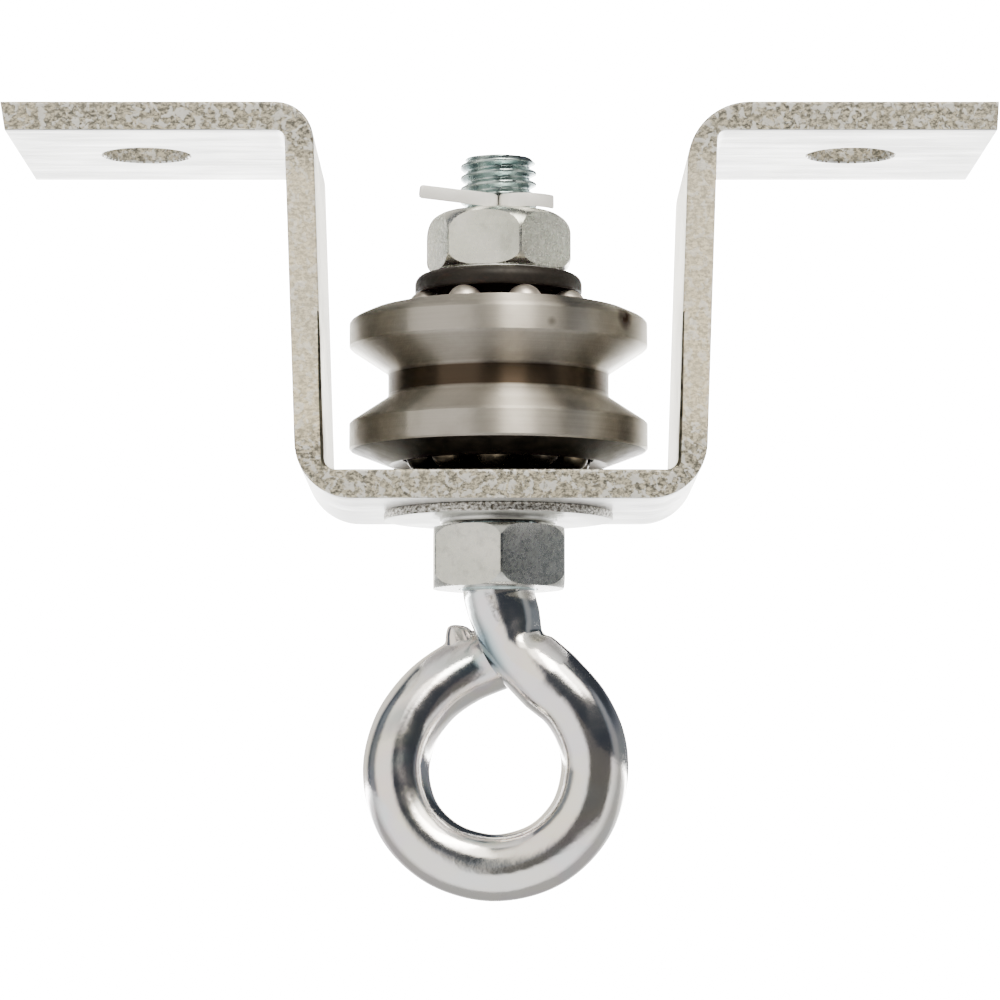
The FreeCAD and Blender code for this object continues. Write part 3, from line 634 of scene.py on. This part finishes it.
def build_bracket():
    lt, rg = CH_L + DEPTH * LEAN, CH_R + DEPTH * LEAN
    du = THICK - THICK * LEAN                      # from inner face at the top side to outer face at the under side
    xb = THICK - THICK * LEAN
    top = [(-END_L, 0), (-lt, 0), (-CH_L, -DEPTH), (CH_R, -DEPTH), (rg, 0), (END_R, 0)]
    rt = [0, 5.0, 1.5, 1.5, 8.0, 0]
    low = [(0.6 - END_L, -THICK), (-lt - du, -THICK), (-CH_L - xb, -DEPTH - THICK), (CH_R + xb, -DEPTH - THICK),
           (rg + du, -THICK), (END_R - 0.25, -THICK)]
    rl = [0, 1.2, 7.3, 7.3, 1.2, 0]

    def spans(pts, radii, n_arc, n_run):
        """Lists of points with the same count in each run and each corner."""
        rp = []
        m = len(pts)
        prev = Vector(pts[0])
        for i in range(1, m):
            b = Vector(pts[i])
            if i < m - 1:
                a, c = Vector(pts[i - 1]), Vector(pts[i + 1])
                u, w = (a - b).normalized(), (c - b).normalized()
                ang = math.acos(u.dot(w))
                cut = radii[i] / math.tan(ang / 2)
                p1, p2 = b + u * cut, b + w * cut
                centre = b + (u + w).normalized() * (radii[i] / math.sin(ang / 2))
            else:
                p1 = b
            for k in range(n_run[i - 1]):
                rp.append(prev.lerp(p1, k / n_run[i - 1]))
            if i < m - 1:
                v1, v2 = p1 - centre, p2 - centre
                a1 = math.atan2(v1.y, v1.x)
                d = math.atan2(v2.y, v2.x) - a1
                while d > math.pi:
                    d -= 2 * math.pi
                while d < -math.pi:
                    d += 2 * math.pi
                for k in range(n_arc):
                    t = a1 + d * k / n_arc
                    rp.append(centre + Vector((math.cos(t), math.sin(t))) * radii[i])
                prev = p2
            else:
                rp.append(p1)
        return rp

    runs = [80, 92, 86, 92, 80]
    A = spans(top, rt, 16, runs)
    B = spans(low, rl, 16, runs)
    hw = WIDTH / 2
    # section across the strip: u runs through the thickness (0 top side, 1 under side), y across
    rings = []
    for k in range(len(A)):
        a, b = A[k], B[k]
        d = b - a
        t = d.length
        d = d / t
        # the shear rolls one edge over and leaves the other crisper
        r_top, r_low = 0.42 + 0.30 * step(-27.0, -40.0, a[1]) * step(19.0, 22.0, abs(a[0])), 0.22
        sec = []
        for (cx, cy, r, a0) in ((r_top, -hw + r_top, r_top, 180), (t - r_low, -hw + r_low, r_low, 270),
                                (t - r_low, hw - r_low, r_low, 0), (r_top, hw - r_top, r_top, 90)):
            pass
        # front face (y = -hw) from top side to under side
        n = 4
        front = [(r_top - r_top * math.sin(math.radians(90 * q / n)), -hw + r_top - r_top * math.cos(math.radians(90 * q / n)))
                 for q in range(n, -1, -1)]
        front += [(lerp(r_top, t - r_low, q / 6), -hw) for q in range(1, 6)]
        front += [(t - r_low + r_low * math.sin(math.radians(90 * q / n)), -hw + r_low - r_low * math.cos(math.radians(90 * q / n)))
                  for q in range(0, n + 1)]
        under = [(t, lerp(-hw + r_low, hw - r_low, q / 20)) for q in range(1, 20)]
        back = [(u, -y) for u, y in reversed(front)]
        over = [(0.0, lerp(hw - r_top, -hw + r_top, q / 20)) for q in range(1, 20)]
        sec = front + under + back + over
        ring = []
        for u, y in sec:
            p = a + d * u
            # sheared faces wander a little
            if abs(y) > hw - 0.05:
                s = 1 if y > 0 else -1
                w1 = noise.noise(Vector((p.x * 0.55, s * 7.0, p.y * 0.55)))
                w2 = noise.noise(Vector((p.x * 2.1, s * 3.0 + u * 0.8, p.y * 2.1)))
                y = s * (hw - 0.05 + 0.035 * w1 + 0.03 * w2 - 0.03 * (u / t) ** 2)
            ring.append(Vector((p.x, y, p.y)) * MM)
        rings.append(ring)
    n = len(rings[0])
    verts = [v for r in rings for v in r]
    faces = []
    for k in range(len(rings) - 1):
        for i in range(n):
            j = (i + 1) % n
            faces.append((k * n + i, k * n + j, (k + 1) * n + j, (k + 1) * n + i))
    faces.append(tuple(range(n)))
    faces.append(tuple(range((len(rings) - 1) * n, len(rings) * n)))
    ob = mesh_obj("bracket_strip", verts, faces, 34)
    # holes in the flanges and the base, cut with their edges broken
    for x, z0, z1, rr in ((-46.52, -THICK, 0.0, 5.75), (46.52, -THICK, 0.0, 5.75), (0.0, -DEPTH - THICK, -DEPTH, 6.9)):
        prof = [(0.001, z0 - 2), (rr + 1.2, z0 - 2), (rr + 0.22, z0 - 0.02), (rr + 0.05, z0 + 0.22), (rr, z0 + 0.5),
                (rr, z1 - 0.35), (rr + 0.06, z1 - 0.14), (rr + 0.24, z1 + 0.02), (rr + 1.2, z1 + 2), (0.001, z1 + 2)]
        cutter = lathe("cutter", prof, 120)
        cutter.location = (x * MM, 0, 0)
        boolean(ob, cutter)
    # material: torn grain on the sheared long edges and in the holes, rolled skin elsewhere
    dress(ob, "face", "edge", "corner")
    me = ob.data
    for p in me.polygons:
        c = p.center
        nrm = p.normal
        side = abs(nrm.y) > 0.45 and abs(c.y) > (hw - 0.6) * MM
        end = abs(nrm.x) > 0.7 and abs(c.x) > 62.8 * MM
        hole = False
        for x, rr, zlo, zhi in ((-46.52, 5.9, -3.6, -0.2), (46.52, 5.9, -3.6, -0.2), (0, 7.0, -50.85, -47.35)):
            if math.hypot(c.x / MM - x, c.y / MM) < rr and zlo < c.z / MM < zhi and abs(nrm.z) < 0.6:
                hole = True
        p.material_index = 1 if (side or end or hole) else 0
        # painted shade: the rolled edge corners on the inner side of the arms and under the flange lips take the dark
        # corner material
        if 0.15 < abs(nrm.y) < 0.93 and abs(c.y) > (hw - 0.55) * MM:
            arm = -0.0469 < c.z < -0.0270 and abs(c.x) > 0.0205 and nrm.x * c.x < 0
            lip = abs(c.x) > 0.031 and nrm.z < -0.1 and c.z < -0.0033
            if arm or lip:
                p.material_index = 2
    smooth(ob, 34)
    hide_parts("bracket")
    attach(ob, "bracket")
    return ob


# ------------------------------------------------------------------ wheel
WM = -34.4


def build_wheel():
    P, ZB, ZH = 10.1, 9.4, 9.8
    rr = 2.43
    pts = [
        ((5.6, 7.1), 0.25), ((9.0, 7.1), 0), ]
    prof = []
    # inside, upper cup: floor, race arc, mouth, then the outside down to the lower cup
    up_race = arc(P, ZH, rr, -74, -2, 16)
    low_race = arc(P, -ZB, rr, 2, 74, 16)
    outer = [
        (12.56, 9.9), (12.56, 10.44), (12.68, 10.5), (12.9, 10.5), (14.7, 10.32), (16.7, 9.84), (18.75, 8.92), (19.3, 8.55), (19.6, 8.15),
        (19.6, 5.1), (19.25, 4.75), (14.5, 1.6), (14.5, -1.6), (19.25, -4.75), (19.6, -5.1),
        (19.6, -8.35), (19.35, -8.6), (14.6, -10.44), (14.38, -10.5), (14.12, -10.44), (12.6, -9.7)]
    orad = [0, 0, 0.05, 0.25, 2.0, 4.0, 1.2, 0.5, 0.3, 0.12, 0.12, 0.8, 0.8, 0.12, 0.12, 0.12, 0.12, 0.12, 0.08, 0.08, 0]
    outer = [tuple(v) for v in round_poly(outer, orad, 5, closed=False)]
    prof = [(5.6, 6.8), (5.85, 7.1)] + [(up_race[0][0] - 0.05, 7.1)] + up_race + outer + low_race + \
           [(low_race[-1][0] - 0.05, -7.1), (5.85, -7.1), (5.6, -6.8)]
    prof = [(r, z + WM) for r, z in prof]

    def nick(r, z, a):
        # small dings on the rim
        for az, zz, dep, wa, wz in ((20.5, WM + 6.1, 0.16, 1.2, 0.3), (18.5, WM + 5.9, 0.10, 1.0, 0.25), (-33.0, WM - 4.85, 0.14, 2.6, 0.35), (118.0, WM + 4.8, 0.2, 3.0, 0.4)):
            da = (math.degrees(a) - az + 180) % 360 - 180
            if r > 18.0:
                r -= dep * math.exp(-(da / wa) ** 2 - ((z - zz) / wz) ** 2)
        return r, z
    ob = lathe("wheel_ring", prof, 288, 30, nick)
    dress(ob, "turned", "cup")
    # painted shade: the bore, the cups and the lower end of the wheel take the dark material
    for p in ob.data.polygons:
        c = p.center
        r = math.hypot(c.x, c.y) / MM
        z = c.z / MM - WM
        if (r < 12.62 and abs(z) < 10.45) or (z < -9.3 and r < 14.15 and z > -10.44) or (z < -8.75 and r < 19.3):
            p.material_index = 1
    smooth(ob, 30)
    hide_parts("grooved_wheel")
    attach(ob, "wheel")
    return ob


# ------------------------------------------------------------------ cones, washers
CONE_TOP = -19.7
NUT_LOW = CONE_TOP + 0.35


def build_cones():
    P = 10.1
    zt = CONE_TOP
    zb = WM + 9.8
    race = arc(P, zb, 2.43, 72, 172, 16)
    prof = [(5.1, zt - 0.25), (5.35, zt), (9.55, zt)]
    prof += arc(9.55, zt - 1.45, 1.45, 90, 0, 14)[1:]
    prof += [(11.0, zt - 2.2), (10.98, zt - 2.38), (10.93, zt - 2.50)]
    prof += race + [(7.2, zb - 0.5), (7.2, WM + 7.7), (6.9, WM + 7.4), (5.1, WM + 7.4)]
    up = dress(lathe("upper_cone_dish", prof, 200, 28), "oxide")
    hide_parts("upper_cone")
    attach(up, "eye_bolt")

    zb = WM - 9.4
    fl = -DEPTH
    und = -DEPTH - THICK - 1.2
    race = arc(P, zb, 2.43, 188, 262, 14)
    prof = [(5.6, WM - 7.4), (6.9, WM - 7.4), (7.2, WM - 7.7), (7.2, zb + 0.5)] + race
    prof += [(10.6, fl + 0.95), (11.8, fl + 0.95), (12.0, fl + 0.75), (12.0, fl), (6.8, fl), (6.8, und), (7.7, und),
             (7.7, und - 0.25), (7.6, und - 0.42), (7.35, und - 0.5), (5.9, und - 0.5), (5.6, und - 0.3)]
    low = dress(lathe("lower_cone_seat", prof, 200, 28), "oxide", "washer")
    for f in low.data.polygons:
        if f.center.z / MM < und + 0.01:
            f.material_index = 1
    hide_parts("lower_cone")
    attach(low, "bracket")

    # base washer: stamped, so one rim edge is rolled and the other is crisp
    prof = round_poly([(6.9, und), (15.0, und), (15.0, und + 1.2), (6.9, und + 1.2)], [0.12, 0.22, 0.42, 0.2], 6)
    bw = lathe("base_washer_ring", [tuple(v) for v in prof], 200, 28)
    dress(bw, "washer", "rim")
    for f in bw.data.polygons:
        c = f.center
        if math.hypot(c.x, c.y) / MM > 14.55 and abs(f.normal.z) < 0.9:
            f.material_index = 1
    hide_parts("base_washer")
    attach(bw, "bracket")

    prof = round_poly([(5.1, zt), (8.6, zt), (8.6, zt + 0.35), (5.1, zt + 0.35)], [0.05, 0.08, 0.15, 0.05], 4)
    uw = lathe("upper_washer_ring", [tuple(v) for v in prof], 160, 28)
    dress(uw, "washer")
    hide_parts("upper_washer")
    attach(uw, "eye_bolt")


# ------------------------------------------------------------------ nuts
CROWN = ((8.15, 0.0), (8.55, 0.03), (8.8, 0.14), (9.1, 0.36), (9.35, 0.68), (9.55, 1.05), (9.75, 1.6))
DOME = ((7.2, 0.0), (7.6, 0.12), (8.2, 0.45), (8.7, 0.82), (9.1, 1.25), (9.4, 1.75), (9.6, 2.3), (9.75, 3.0))


def build_nut(name, node, z_top, thick, turn, over, under, shift):
    """Hexagon blank cut back by a turned crown at each face; over and under list (radius, drop)."""
    af = 17.0
    cr = af / math.sqrt(3.0)
    hexa = []
    for i in range(6):
        a = math.radians(turn + 60 * i)
        hexa.append((cr * math.sin(a), -cr * math.cos(a)))
    outline = round_poly(hexa, [0.55] * 6, 6)
    z0, z1 = z_top - thick, z_top
    n = len(outline)
    rows = 9
    verts, faces = [], []
    for k in range(rows):
        z = lerp(z0 - 0.5, z1 + 0.5, k / (rows - 1))
        for p in outline:
            verts.append((p.x * MM, p.y * MM, z * MM))
    for k in range(rows - 1):
        for i in range(n):
            j = (i + 1) % n
            faces.append((k * n + i, k * n + j, (k + 1) * n + j, (k + 1) * n + i))
    faces.append(tuple(range(n)))
    faces.append(tuple(range((rows - 1) * n, rows * n)))
    ob = mesh_obj(name, verts, faces)
    R2 = 10.8
    lim = [(0.001, z0)] + [(r, z0 + d) for r, d in under] + [(R2, z0 + under[-1][1] + 0.6), (R2, z1 - over[-1][1] - 0.6)] + \
          [(r, z1 - d) for r, d in reversed(over)] + [(0.001, z1)]
    env = lathe("env", lim, 180)
    boolean(ob, env, "INTERSECT")
    bore = [(0.001, z0 - 0.6), (5.95, z0 - 0.6), (5.35, z0), (5.02, z0 + 0.35), (5.02, z1 - 0.35), (5.35, z1), (5.95, z1 + 0.6), (0.001, z1 + 0.6)]
    boolean(ob, lathe("bore", bore, 120))
    smooth(ob, 19)
    dress(ob, shift)
    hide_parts(node)
    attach(ob, "eye_bolt")
    return ob


# ------------------------------------------------------------------ eye bolt
ROUTE = [
    (0.0, 0.0, -59.2), (0.0, 0.0, -61.0), (0.22, -0.05, -62.8), (0.75, -0.22, -65.2), (1.6, -0.55, -67.4), (3.35, -1.15, -69.95),
    (6.85, -2.05, -73.3), (10.1, -2.5, -76.9), (12.1, -2.4, -81.27), (12.35, -2.0, -85.83), (10.6, -1.5, -91.25), (6.1, -0.8, -95.7),
    (-0.46, 0.0, -97.4), (-7.0, 0.8, -95.7), (-11.6, 1.6, -91.35), (-13.35, 2.5, -85.13), (-12.2, 3.6, -79.5),
    (-9.0, 4.9, -74.85), (-4.8, 6.2, -71.7), (0.4, 7.3, -69.4),
]

# half widths of the bar along its first 24 mm, on the side towards +X and on the other side:
# it is wider where the thread runs out, pinched inside the first bend and spread after it
WIDE_R = ((0, 4.78), (2.55, 4.78), (2.75, 4.62), (3.1, 4.66), (3.7, 4.76), (5.2, 4.84), (6.1, 4.83), (7.3, 4.65), (8.5, 4.45),
          (9.2, 4.27), (10.0, 4.04), (10.8, 4.04), (11.6, 4.14), (12.8, 4.36), (14.0, 4.47), (16.5, 4.56), (18.0, 4.5),
          (20.0, 4.45), (24.0, 4.45))
WIDE_L = ((0, 4.74), (2.7, 4.67), (3.6, 4.57), (4.8, 4.44), (6.1, 4.22), (7.3, 4.14), (8.5, 4.18), (10.0, 4.27), (11.6, 4.35),
          (12.8, 4.48), (14.0, 4.62), (15.3, 4.74), (16.5, 4.78), (17.8, 4.64), (19.5, 4.45), (24.0, 4.45))


def table(tab, x):
    if x <= tab[0][0]:
        return tab[0][1]
    for (x0, y0), (x1, y1) in zip(tab, tab[1:]):
        if x <= x1:
            return lerp(y0, y1, (x - x0) / (x1 - x0))
    return tab[-1][1]



def build_bolt():
    # threaded shank: a true right-hand helix, run out into the plain rod
    major, minor, pitch = 5.0, 4.12, 1.5
    top = -4.25
    seg = 96
    zs = []
    z = top
    while z > -12.6:
        zs.append(z)
        z -= 0.1
    zs += [-14.0, -18.0, -22.0, -40.0, -56.0, -58.2, -59.4, -60.6, -61.2, -61.5]
    rings = []
    for z in zs:
        ring = []
        for s in range(seg):
            a = 2 * math.pi * s / seg
            ph = ((top - z) / pitch + a / (2 * math.pi)) % 1.0
            f = 1 - abs(2 * ph - 1)                 # 0 at the root seam, 1 on the crest
            f = max(0.0, min(1.0, (f - 0.16) / 0.62))
            r = minor + (major - minor) * f
            if z < -12.0:
                r = major - 0.02
            cham = 4.32 + (top - z) * 1.0
            r = min(r, max(cham, 4.1))
            if z < -61.3:
                r = 4.7
            ring.append(Vector((r * math.sin(a), -r * math.cos(a), z)) * MM)
        rings.append(ring)
    verts, faces = [], []
    for r in rings:
        verts.extend(r)
    for k in range(len(rings) - 1):
        for i in range(seg):
            j = (i + 1) % seg
            faces.append((k * seg + i, k * seg + j, (k + 1) * seg + j, (k + 1) * seg + i))
    # sawn end face, a little uneven
    base = len(verts)
    inner = []
    for q, rr in enumerate((3.0, 1.5)):
        for s in range(seg):
            a = 2 * math.pi * s / seg
            x, y = rr * math.sin(a), -rr * math.cos(a)
            verts.append(Vector((x, y, top + 0.02 * math.sin(x * 3.1) + 0.01)) * MM)
    verts.append(Vector((0, 0, top)) * MM)
    for i in range(seg):
        j = (i + 1) % seg
        faces.append((i, j, base + j, base + i))
        faces.append((base + i, base + j, base + seg + j, base + seg + i))
        faces.append((base + seg + i, base + seg + j, len(verts) - 1))
    faces.append(tuple(range((len(rings) - 1) * seg, len(rings) * seg)))
    shank = mesh_obj("bolt_shank", verts, faces, 50)
    # cross hole for the split pin
    hole = lathe("pin_hole", [(0.001, -12), (1.1, -12), (1.1, 12), (0.001, 12)], 40)
    hole.rotation_euler = (math.radians(90), 0, 0)
    hole.location = (0, 0, -10.6 * MM)
    boolean(shank, hole)

    # the bent rod
    line = catmull(ROUTE, 14)
    fr = frames(line, (0, -1, 0))
    total = 0.0
    dist = [0.0]
    for i in range(1, len(line)):
        total += (line[i] - line[i - 1]).length
        dist.append(total)
    seg = 56
    rings = []
    for k, (p, t, side, up) in enumerate(fr):
        d = dist[k]
        left = total - d
        ring = []
        for s in range(seg):
            a = 2 * math.pi * s / seg
            dirv = side * math.cos(a) + up * math.sin(a)
            nx, nz = -t.z, t.x
            m2 = math.hypot(nx, nz) or 1.0
            c = (dirv.x * nx + dirv.z * nz) / m2
            if d < 24.0:
                r = lerp(table(WIDE_L, d), table(WIDE_R, d), 0.5 + 0.5 * c)
                # the crease pressed into the inside of the first bend
                dent = max(0.0, dirv.dot(Vector((0.72, -0.5, 0.48)).normalized())) ** 6
                r -= 0.38 * dent * math.exp(-((d - 10.6) / 1.15) ** 2)
                r += 0.16 * dent * math.exp(-((d - 12.9) / 1.0) ** 2)
            else:
                r = 4.45
            # bending flattens the inner side slightly
            inner_dir = (Vector((-0.46, p.y, -84.6)) - p).normalized()
            r -= 0.10 * max(0.0, dirv.dot(inner_dir)) ** 2 * step(10, 20, d)
            r += 0.03 * noise.noise(Vector((p.x * 0.25, p.z * 0.25, a)))
            # round the sheared end
            if left < 0.6:
                r -= 0.5 * (1 - math.sqrt(max(0.0, 1 - (1 - left / 0.6) ** 2)))
            ring.append((p + dirv * r) * MM)
        rings.append(ring)
    rod = tube("bolt_rod", None, rings, True, 40)
    # lip torn up by the shear at the end of the tail
    lip_line = catmull([(-4.6, 6.2, -69.8), (-5.0, 6.2, -68.0), (-5.15, 6.25, -66.6), (-5.0, 6.3, -65.5)], 8)
    lf = frames(lip_line, (0, -1, 0))
    rings = []
    for k, (p, t, side, up) in enumerate(lf):
        f = k / (len(lf) - 1)
        w = lerp(2.3, 1.55, f)
        h = lerp(3.0, 2.0, f)
        e = 1.0 if f < 0.8 else math.sqrt(max(0.02, 1 - ((f - 0.8) / 0.2) ** 2 * 0.8))
        ring = []
        for s in range(28):
            a = 2 * math.pi * s / 28
            ca, sa = math.cos(a), math.sin(a)
            q = (abs(ca) ** 3.2 + abs(sa) ** 3.2) ** (-1 / 3.2)
            ring.append((p + side * (ca * q * w * e) + up * (sa * q * h * e)) * MM)
        rings.append(ring)
    lip = tube("bolt_lip", None, rings, True, 40)
    boolean(rod, lip, "UNION")
    rm = rod.modifiers.new("r", "REMESH")
    rm.mode = "VOXEL"
    rm.voxel_size = 0.00024
    apply_mods(rod)
    sm = rod.modifiers.new("s", "SMOOTH")
    sm.factor = 0.5
    sm.iterations = 3
    apply_mods(rod)
    smooth(rod, 60)
    dress(rod, "bolt")
    # one piece: shank and eye share an object
    bm = bmesh.new()
    bm.from_mesh(shank.data)
    for f in bm.faces:
        f.material_index = 0
    n0 = len(bm.faces)
    bm.from_mesh(rod.data)
    bm.faces.ensure_lookup_table()
    for f in bm.faces[n0:]:
        f.material_index = 1
    me = bpy.data.meshes.new("eye_bolt_bar")
    me.materials.append(MAT["thread"])
    me.materials.append(MAT["bolt"])
    bm.to_mesh(me)
    bm.free()
    ob = link(bpy.data.objects.new("eye_bolt_bar", me))
    smooth(ob, 50)
    bpy.data.objects.remove(shank, do_unlink=True)
    bpy.data.objects.remove(rod, do_unlink=True)
    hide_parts("eye_bolt")
    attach(ob, "eye_bolt")
    return ob


# ------------------------------------------------------------------ split pin
def build_pin():
    pz = -10.6
    left = [(-0.5, 5.2, pz), (-0.5, 0.0, pz), (-0.5, -3.6, pz), (-0.68, -4.7, pz), (-1.25, -5.55, pz + 0.02), (-2.3, -6.15, pz + 0.06),
            (-4.8, -6.95, pz + 0.22), (-8.0, -7.8, pz + 0.48), (-10.25, -8.35, pz + 0.66)]
    right = [(0.5, 5.2, pz), (0.5, 0.0, pz), (0.5, -3.6, pz), (0.72, -4.7, pz), (1.35, -5.45, pz), (2.4, -5.85, pz),
             (4.3, -5.95, pz), (5.8, -5.0, pz + 0.03), (6.95, -3.5, pz + 0.08)]
    # left leg tip -> head -> round the loop -> right leg tip
    loop = [(-1.62 * math.sin(math.radians(t)), 7.7 - 1.62 * math.cos(math.radians(t)), pz) for t in (32, 65, 100, 140, 180, 220, 260, 295, 328)]
    pts = list(reversed(left)) + loop + right
    line = catmull(pts, 8)
    fr = frames(line, (0, 0, 1))
    R = 0.9
    rings = []
    m = len(fr)
    for k, (p, t, side, up) in enumerate(fr):
        # side = t x up points to the wire's right hand, which is the flat's side
        ring = []
        n = 18
        pr = []
        for q in range(n + 1):
            a = math.pi / 2 + math.pi * q / n
            pr.append((R * math.cos(a) * 1.0 + 0.44, R * math.sin(a)))
        pr = [tuple(v) for v in round_poly([Vector(v) for v in pr], [0.12] + [0] * (n - 1) + [0.12], 3)]
        e = 0.86 if k in (0, m - 1) else 1.0
        # the two flats stay close in the hole and part where the legs are bent
        for u, v in pr:
            ring.append((p + side * (u * e) + up * (v * e)) * MM)
        rings.append(ring)
    ob = tube("split_pin_wire", None, rings, True, 35)
    dress(ob, "pin")
    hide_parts("split_pin")
    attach(ob, "eye_bolt")
    return ob


# ------------------------------------------------------------------ balls and cages
def build_balls():
    for prefix, count, phase, z, body in (("upper_ball", 8, -25.5, WM + 9.8, "upper_ball_row"),
                                          ("lower_ball", 10, -3.0, WM - 9.4, "lower_ball_row")):
        for i in range(count):
            a = math.radians(phase + 360.0 * i / count)
            c = Vector((10.1 * math.sin(a), -10.1 * math.cos(a), z)) * MM
            me = bpy.data.meshes.new("ball")
            bm = bmesh.new()
            bmesh.ops.create_icosphere(bm, subdivisions=4, radius=2.381 * MM)
            bmesh.ops.translate(bm, verts=bm.verts, vec=c)
            bm.to_mesh(me)
            bm.free()
            ob = link(bpy.data.objects.new("%s_bead_%d" % (prefix, i + 1), me))
            smooth(ob, 60)
            dress(ob, "ball" if prefix == "upper_ball" else "ball_low")
            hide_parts("%s_%d" % (prefix, i + 1))
            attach(ob, body)
    for node in ("upper_cage", "lower_cage"):
        dress(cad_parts[node], "cage")


build_bracket()
build_wheel()
build_cones()
build_nut("upper_nut_hex", "upper_nut", NUT_LOW + 7.8, 7.8, 17.5, DOME, CROWN, "nut")
build_nut("lower_nut_hex", "lower_nut", -53.05, 8.1, 2.0, CROWN, CROWN, "nut_low")
build_bolt()
build_pin()
build_balls()


# ------------------------------------------------------------------ studio
class World(Mat):
    def __init__(self):
        w = bpy.data.worlds.new("studio")
        bpy.context.scene.world = w
        w.use_nodes = True
        self.t = w.node_tree
        self.t.nodes.clear()
        self.tc = self.node("ShaderNodeTexCoord")
        self.obj = self.tc.outputs["Generated"]


class Floor(Mat):
    def __init__(self, m):
        self.m = m
        self.t = m.node_tree
        self.tc = self.node("ShaderNodeTexCoord")
        self.obj = self.tc.outputs["Object"]


def studio():
    """White backdrop; the reflections come from soft panels placed by direction.
    az is counted from -Y (the front) towards +X, el above the horizon, in degrees."""
    scene = bpy.context.scene
    w = World()
    o = w.sep()
    deg = 57.29578
    az = w.math("MULTIPLY", w.math("ARCTAN2", o["X"], w.math("MULTIPLY", o["Y"], -1.0)), deg)
    el = w.math("MULTIPLY", w.math("ARCSINE", o["Z"]), deg)

    def ease(v, a, b, c, d):
        n = w.node("ShaderNodeMapRange", interpolation_type="SMOOTHSTEP")
        w.put(n, From_Min=a, From_Max=b, To_Min=c, To_Max=d)
        w.t.links.new(v, n.inputs["Value"])
        return n.outputs["Result"]

    def panel(a0, a1, e0, e1, sa, se):
        h = w.math("MULTIPLY", ease(az, a0 - sa, a0 + sa, 0, 1), ease(az, a1 - sa, a1 + sa, 1, 0))
        v = w.math("MULTIPLY", ease(el, e0 - se, e0 + se, 0, 1), ease(el, e1 - se, e1 + se, 1, 0))
        return w.math("MULTIPLY", h, v)

    total = 0.06
    for strength, args in (
            (21.0, (4, 31, 32, 72, 4, 6)),          # key, high to the right of the front
            (4.2, (-17, 6, 34, 72, 4, 6)),          # its soft sides
            (6.0, (31, 60, 34, 72, 8, 6)),
            (1.55, (-76, -18, -60, 58, 8, 10)),     # fill, left of the front
            (0.22, (-104, -76, -60, 50, 10, 10)),   # fill, farther left
            (0.32, (70, 92, -60, 40, 8, 10)),      # right
            (0.20, (90, 160, -60, 20, 8, 8)),       # back right
            (1.20, (-172, -118, -20, 45, 10, 10)),  # back left
            (9.0, (165, 190, -14, 18, 5, 5)),       # behind
            (9.0, (-190, -166, -14, 18, 5, 5)),
            (0.20, (-200, 200, 74, 100, 5, 8))):    # ceiling
        total = w.math("ADD", w.math("MULTIPLY", panel(*args), strength), total)
    env = w.node("ShaderNodeBackground")
    col = w.mixc(w.mapr(total, 0.06, 0.7, 0, 1), srgb(214, 232, 255), srgb(255, 250, 238))
    w.t.links.new(col, env.inputs["Color"])
    w.t.links.new(total, env.inputs["Strength"])
    back = w.node("ShaderNodeBackground")
    back.inputs["Color"].default_value = (1, 1, 1, 1)
    back.inputs["Strength"].default_value = 20.0
    lp = w.node("ShaderNodeLightPath")
    mix = w.node("ShaderNodeMixShader")
    out = w.node("ShaderNodeOutputWorld")
    w.t.links.new(lp.outputs["Is Camera Ray"], mix.inputs["Fac"])
    w.t.links.new(env.outputs[0], mix.inputs[1])
    w.t.links.new(back.outputs[0], mix.inputs[2])
    w.t.links.new(mix.outputs[0], out.inputs["Surface"])

    # pale floor well below the hanging eye
    me = bpy.data.meshes.new("floor")
    s = 3.0
    me.from_pydata([(-s, -s, -0.20), (s, -s, -0.20), (s, s, -0.20), (-s, s, -0.20)], [], [(0, 1, 2, 3)])
    fl = link(bpy.data.objects.new("floor", me))
    fm = bpy.data.materials.new("pale_floor")
    fm.use_nodes = True
    b = fm.node_tree.nodes["Principled BSDF"]
    b.inputs["Base Color"].default_value = (0.03, 0.03, 0.03, 1)
    b.inputs["Roughness"].default_value = 0.8
    b.inputs["Specular IOR Level"].default_value = 0.0
    b.inputs["Emission Color"].default_value = (1, 1, 1, 1)
    # brighter well behind the part, dark where it runs out under the camera
    f = Floor(fm)
    fo = f.sep()
    rad = f.math("SQRT", f.math("ADD", f.math("MULTIPLY", fo["X"], fo["X"]), f.math("MULTIPLY", fo["Y"], fo["Y"])))
    fa = f.math("MULTIPLY", f.math("ARCTAN2", fo["X"], f.math("MULTIPLY", fo["Y"], -1.0)), deg)
    dark = f.math("MULTIPLY", f.mapr(rad, 0.17, 0.25, 0, 1), f.math("MULTIPLY", f.mapr(fa, -24, -14, 0, 1), f.mapr(fa, 54, 66, 1, 0)))
    side = f.math("MULTIPLY", f.math("ADD", f.mapr(fa, -106, -78, 1, 0), f.mapr(fa, 62, 90, 0, 1)), f.mapr(fo["Y"], 0.15, 0.30, 1, 0))
    glow = f.math("MULTIPLY", f.mapr(fo["Y"], 0.56, 1.16, 1.5, 18.0), f.math("SUBTRACT", 1.0, f.math("MULTIPLY", dark, 0.95)))
    glow = f.math("MULTIPLY", glow, f.math("SUBTRACT", 1.0, f.math("MULTIPLY", side, 0.7)))
    fm.node_tree.links.new(glow, b.inputs["Emission Strength"])
    me.materials.append(fm)

    cam = bpy.data.cameras.new("photo_view")
    cam.sensor_width = 36.0
    cam.lens = 152.8
    cam.clip_start = 0.05
    cam.clip_end = 20.0
    co = link(bpy.data.objects.new("photo_view", cam))
    co.location = (0.0002, -0.554, -0.10246)
    target = Vector((0.0002, 0.0, -0.04941))
    co.rotation_euler = (target - Vector(co.location)).to_track_quat("-Z", "Y").to_euler()
    scene.camera = co


studio()
